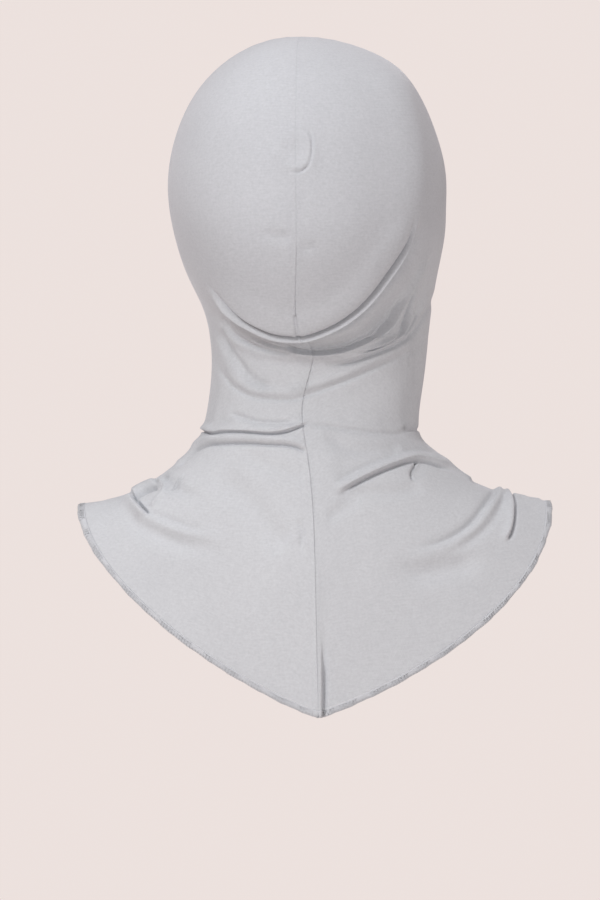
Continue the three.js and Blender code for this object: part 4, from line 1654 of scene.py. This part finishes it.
@dataclass
class Hem:
    """The overlocked edge of the bib.

    Each ripple has its share, its pace and its start, as an angle. The cut goes from the outer face round the edge
    to the inner one. Each of its corners has its place as a share of the width, its height on the outer or the
    inner face as a share of the swell, and how deep in the cloth it lies as a share of its thickness.
    """

    grid: ClothGrid
    material: bpy.types.Material
    sewing: Sewing
    pitch: float = 2.1 * MM
    thread: float = 0.17 * MM
    looper_share: float = 0.8
    looper_inset: float = 0.25 * MM
    purl_inset: float = -0.1 * MM
    purl_width: float = 0.5 * MM
    ripple: float = 0.35 * MM
    ripple_pitch: float = 17 * MM
    ripples: tuple[tuple[float, float, float], ...] = ((1.0, 1.0, 0.0), (0.6, 0.43, 1.0), (0.5, 2.3, 2.0))
    cut: tuple[tuple[float, float, float], ...] = (
        (0.0, 0.0, 0.0), (0.2, 1.0, 0.0), (0.6, 1.1, 0.0), (0.9, 0.8, 0.0), (1.0, 0.0, 0.5),
        (0.9, -0.8, 1.0), (0.6, -1.0, 1.0), (0.2, -1.0, 1.0), (0.0, 0.0, 1.0),
    )
    tip: int = 4

    def edge(self) -> tuple[Array, Array, Array]:
        """Gives the cloth's lower edge as a ring, with the ways down and outwards.

        Returns:
            The ring's points, the direction down the cloth and the direction off it.
        """
        outer, outwards = self.grid.outer, self.grid.outwards
        down = unit(outer[-1] - outer[-2])
        keep = slice(0, -1)
        return outer[-1, keep], down[keep], outwards[-1, keep]

    def build(self) -> list[bpy.types.Object]:
        """Makes the edge's cloth and the threads over it.

        Returns:
            The edge and its threads.
        """
        sizes = self.grid.form.sizes
        line, down, outwards = self.edge()
        run = np.cumsum(np.linalg.norm(np.diff(line, axis=0, prepend=line[:1]), axis=-1))
        turns = 2 * np.pi * run / self.ripple_pitch
        wave = sum(share * np.sin(pace * turns + start) for share, pace, start in self.ripples) * self.ripple
        swell = (sizes.hem_thickness - sizes.cloth) / 2
        gap, width = sizes.trim_gap, sizes.hem_width
        rings = []
        for share, proud, deep in self.cut:
            height = proud * swell - deep * sizes.cloth
            reach = gap + width * share
            shift = outwards * (height + wave * share)[:, None] + down * (reach + 0.5 * wave * share)[:, None]
            rings.append(line + shift)
        stations = np.stack(rings, axis=1)
        along = np.repeat(run[:, None], len(self.cut), axis=1)
        across = np.repeat(np.array([share for share, _, _ in self.cut])[None] * width, len(stations), axis=0)
        places = np.stack([along, across], axis=-1).reshape(-1, 2)
        faces = [face[::-1] for face in ring_faces(len(stations), len(self.cut), True)]
        edge = mesh_object("hem_edge", stations.reshape(-1, 3), faces, places)
        edge.data.materials.append(self.material)
        self.thread_over(stations, down, outwards, swell)
        threads = self.sewing.gather("hem_threads")
        for piece in (edge, threads):
            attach(piece, "root")
        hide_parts("hem_overlock")
        return [edge, threads]

    def thread_over(self, stations: Array, down: Array, outwards: Array, swell: float) -> None:
        """Sews the looper threads over both faces, the purl on the edge and the needle line.

        Args:
            stations: rings of points round the edge's cut.
            down: the direction down the cloth at each ring.
            outwards: the direction off it.
            swell: how far the edge stands proud of the cloth.
        """
        sizes = self.grid.form.sizes
        tip = stations[:, self.tip]
        width = sizes.hem_width * self.looper_share
        lift = sizes.cloth / 2 + swell
        for side in (1.0, -1.0):
            face = outwards * side
            self.sewing.sew(
                Run.ZIGZAG, tip, -down, face, True, Pitch=self.pitch, Inset=self.looper_inset, Width=width,
                Lift=lift + self.thread * 0.6, Radius=self.thread,
            )
            self.sewing.sew(
                Run.DASHES, tip, -down, face, True,
                Pitch=self.pitch, Inset=width, Lift=lift + self.thread, Radius=self.thread * 1.1,
            )
        self.sewing.sew(
            Run.ZIGZAG, tip, -down, outwards, True,
            Pitch=self.pitch / 2, Inset=self.purl_inset, Width=self.purl_width, Radius=self.thread * 1.3,
        )


@dataclass
class Seams:
    """The sewn allowances inside the cloth, bound with thread."""

    grid: ClothGrid
    material: bpy.types.Material
    sewing: Sewing
    clearance: float = 0.12 * MM
    pitch: float = 2.4 * MM
    thread: float = 0.17 * MM
    thread_share: float = 0.42
    edge_share: float = 0.6
    cells: int = 4
    span: int = 26

    def across(self, rows: Array, column: int) -> tuple[Array, Array]:
        """Follows the inside of the cloth across a seam.

        Args:
            rows: the rows of the grid that the seam runs through.
            column: 0 for the front seam, or the middle column for the back one.

        Returns:
            Points across the allowance at each row, and the inward directions there.
        """
        reach = np.linspace(-1, 1, 2 * self.cells + 1) * self.grid.form.sizes.allowance_width / 2
        total = self.grid.outer.shape[1]
        beside = range(-self.span, self.span + 1)
        picks = [(column + i) % (total - 1) if column == 0 else column + i for i in beside]
        points, inwards = [], []
        for row in rows:
            inner = self.grid.inner[row, picks]
            facing = -self.grid.outwards[row, picks]
            step = np.linalg.norm(np.diff(inner, axis=0), axis=1)
            run = np.concatenate([[0], np.cumsum(step)])
            run -= run[self.span]
            points.append(np.stack([np.interp(reach, run, inner[:, k]) for k in range(3)], axis=1))
            inwards.append(unit(np.stack([np.interp(reach, run, facing[:, k]) for k in range(3)], axis=1)))
        return np.array(points), np.array(inwards)

    def strip(self, name: str, node: str, points: Array, inwards: Array) -> bpy.types.Object:
        """Makes one allowance as a closed strip, with thread over both its edges.

        Args:
            name: the piece's name.
            node: the node that it stands for.
            points: points across the allowance at each row.
            inwards: the inward directions there.

        Returns:
            The strip.
        """
        sizes = self.grid.form.sizes
        near = points + inwards * self.clearance
        edge = np.ones(points.shape[1])
        edge[[0, -1]] = self.edge_share
        deep = points + inwards * (self.clearance + sizes.allowance_thickness * edge)[:, None]
        stations = np.concatenate([near, deep[:, ::-1]], axis=1)
        sides = stations.shape[1]
        run = np.cumsum(np.linalg.norm(np.diff(points[:, 0], axis=0, prepend=points[:1, 0]), axis=-1))
        along = np.repeat(run[:, None], sides, axis=1)
        across = np.repeat(np.arange(sides)[None] * sizes.allowance_width / self.cells / 2, len(points), axis=0)
        faces = [face[::-1] for face in ring_faces(len(stations), sides, False)]
        strip = mesh_object(name, stations.reshape(-1, 3), faces, np.stack([across, along], -1).reshape(-1, 2))
        strip.data.materials.append(self.material)
        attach(strip, "root")
        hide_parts(node)
        middle = deep.shape[1] // 2
        for end in (0, -1):
            way = unit(deep[:, middle] - deep[:, end])
            self.sewing.sew(
                Run.ZIGZAG, deep[:, end], way, inwards[:, end], False, Pitch=self.pitch,
                Width=sizes.allowance_width * self.thread_share, Lift=self.thread, Radius=self.thread,
            )
        return strip

    def build(self) -> list[bpy.types.Object]:
        """Makes both seams' allowances and their threads.

        Returns:
            The two allowances and their threads.
        """
        grid = self.grid
        last = len(grid.outer) - 1
        down_back = self.across(np.arange(1, last + 1), grid.half)
        over_crown = self.across(np.arange(grid.top_row, 0, -1), 0)
        back = [np.concatenate([crown[:, ::-1], rear]) for crown, rear in zip(over_crown, down_back)]
        front = self.across(np.arange(grid.foot_row, last + 1), 0)
        made = [
            self.strip("back_allowance", "back_seam", *back),
            self.strip("front_allowance", "front_seam", *front),
        ]
        threads = self.sewing.gather("seam_threads")
        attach(threads, "root")
        return [*made, threads]


@dataclass(frozen=True)
class SoftLight:
    """A square soft light: where it is, how wide in metres, and its power in watts."""

    name: str
    place: tuple[float, float, float]
    size: float
    power: float
    tint: tuple[float, float, float] = (1.0, 1.0, 1.0)

    def build(self, aim: Vector) -> None:
        """Adds the light, pointed at the aim.

        Args:
            aim: the point that it shines on.
        """
        light = bpy.data.lights.new(self.name, "AREA")
        light.shape = "SQUARE"
        light.size = self.size
        light.energy = self.power
        light.color = self.tint
        lamp = bpy.data.objects.new(self.name, light)
        lamp.location = self.place
        lamp.rotation_euler = (aim - Vector(self.place)).to_track_quat("-Z", "Y").to_euler()
        bpy.context.scene.collection.objects.link(lamp)


LIGHTS = (
    SoftLight("key", (1.25, 1.85, 1.25), 0.7, 38, (1.0, 0.995, 0.985)),
    SoftLight("top", (0.3, 0.4, 1.7), 1.0, 13),
    SoftLight("fill", (-1.2, 2.1, -0.1), 0.8, 12),
)


@dataclass
class Studio:
    """Plain floor, soft light and the camera."""

    view: PhotoView
    floor_drop: float = 1.1
    floor_radius: float = 3.6
    floor_corners: int = 96
    floor_shade: tuple[float, float, float] = (0.9, 0.84, 0.81)
    floor_color: tuple[float, float, float] = (0.93, 0.87, 0.84)
    floor_roughness: float = 0.9
    floor_clouds: float = 3.0
    backdrop: tuple[float, float, float] = (0.84, 0.755, 0.728)
    room_light: float = 0.6
    aim_drop: float = 0.22

    def floor(self) -> None:
        """Adds a plain pale floor, well below the part that is held up."""
        turns = np.linspace(0, 2 * np.pi, self.floor_corners + 1)[:-1]
        points = np.stack([np.cos(turns), np.sin(turns), 0 * turns], axis=1) * self.floor_radius
        points[:, 2] = -self.floor_drop
        floor = mesh_object("floor", points, [tuple(range(len(turns)))])
        material, tree, shader = new_material("floor_paint")
        shader.inputs["Roughness"].default_value = self.floor_roughness
        coordinates = tree.nodes.new("ShaderNodeTexCoord")
        tone = noise_texture(tree, coordinates.outputs["Object"], self.floor_clouds, 2)
        paint = two_tones(tree, tone, self.floor_shade, self.floor_color)
        tree.links.new(paint, shader.inputs["Base Color"])
        floor.data.materials.append(material)

    def camera(self) -> None:
        """Sets the camera level behind the part, at the photograph's scale."""
        data = bpy.data.cameras.new("camera")
        data.sensor_fit = "HORIZONTAL"
        data.sensor_width = self.view.sensor / MM
        width = self.view.columns * self.view.pixel
        data.lens = self.view.distance / width * self.view.sensor / MM
        data.dof.use_dof = False
        camera = bpy.data.objects.new("camera", data)
        x, z = self.view.centre()
        camera.location = (x, self.view.distance, z)
        camera.rotation_euler = (math.pi / 2, 0, math.pi)
        bpy.context.scene.collection.objects.link(camera)
        bpy.context.scene.camera = camera

    def world(self) -> bpy.types.World:
        """Makes the pale backdrop, and the dimmer light that the room gives back from all round.

        Returns:
            The world.
        """
        world = bpy.data.worlds.new("studio")
        world.use_nodes = True
        tree = world.node_tree
        seen = tree.nodes["Background"]
        seen.inputs["Color"].default_value = (*self.backdrop, 1)
        room = tree.nodes.new("ShaderNodeBackground")
        room.inputs["Color"].default_value = (*self.backdrop, 1)
        room.inputs["Strength"].default_value = self.room_light
        path = tree.nodes.new("ShaderNodeLightPath")
        choice = tree.nodes.new("ShaderNodeMixShader")
        tree.links.new(path.outputs["Is Camera Ray"], choice.inputs["Fac"])
        tree.links.new(room.outputs["Background"], choice.inputs[1])
        tree.links.new(seen.outputs["Background"], choice.inputs[2])
        tree.links.new(choice.outputs["Shader"], tree.nodes["World Output"].inputs["Surface"])
        return world

    def build(self) -> None:
        """Sets up the floor, the lights, the backdrop's colour and the camera."""
        scene = bpy.context.scene
        scene.view_settings.view_transform = "Standard"
        scene.world = self.world()
        self.floor()
        self.camera()
        for light in LIGHTS:
            light.build(Vector((0, 0, -self.aim_drop)))


def dress(frame: dict) -> None:
    """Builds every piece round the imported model.
    """
    view = PhotoView()
    Studio(view).build()
    sizes = HoodSizes()
    grid = ClothGrid(HoodForm(sizes), FoldField(view))
    jersey = Jersey().material()
    band_jersey = Jersey(name="band_jersey", crumple=0.12 * MM).material()
    edge_jersey = Jersey(name="edge_jersey", color=(0.49, 0.51, 0.545), shade=(0.45, 0.468, 0.5)).material()
    sewing = Sewing(Thread().material())
    panels = Panels(grid, jersey)
    cloth = panels.build()
    band = FaceBand(grid, band_jersey, sewing).build()
    hem = Hem(grid, edge_jersey, sewing).build()
    seams = Seams(grid, edge_jersey, sewing).build()
    for piece in (*cloth, *band, *hem, *seams):
        faces = sum(len(face.vertices) - 2 for face in piece.data.polygons)
        LOG.info("%s: %d triangles", piece.name, faces)


def main() -> None:
    """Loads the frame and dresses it."""
    logging.basicConfig(level=logging.INFO, format="%(message)s")
    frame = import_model()
    dress(frame)


if __name__ == "__main__":
    main()
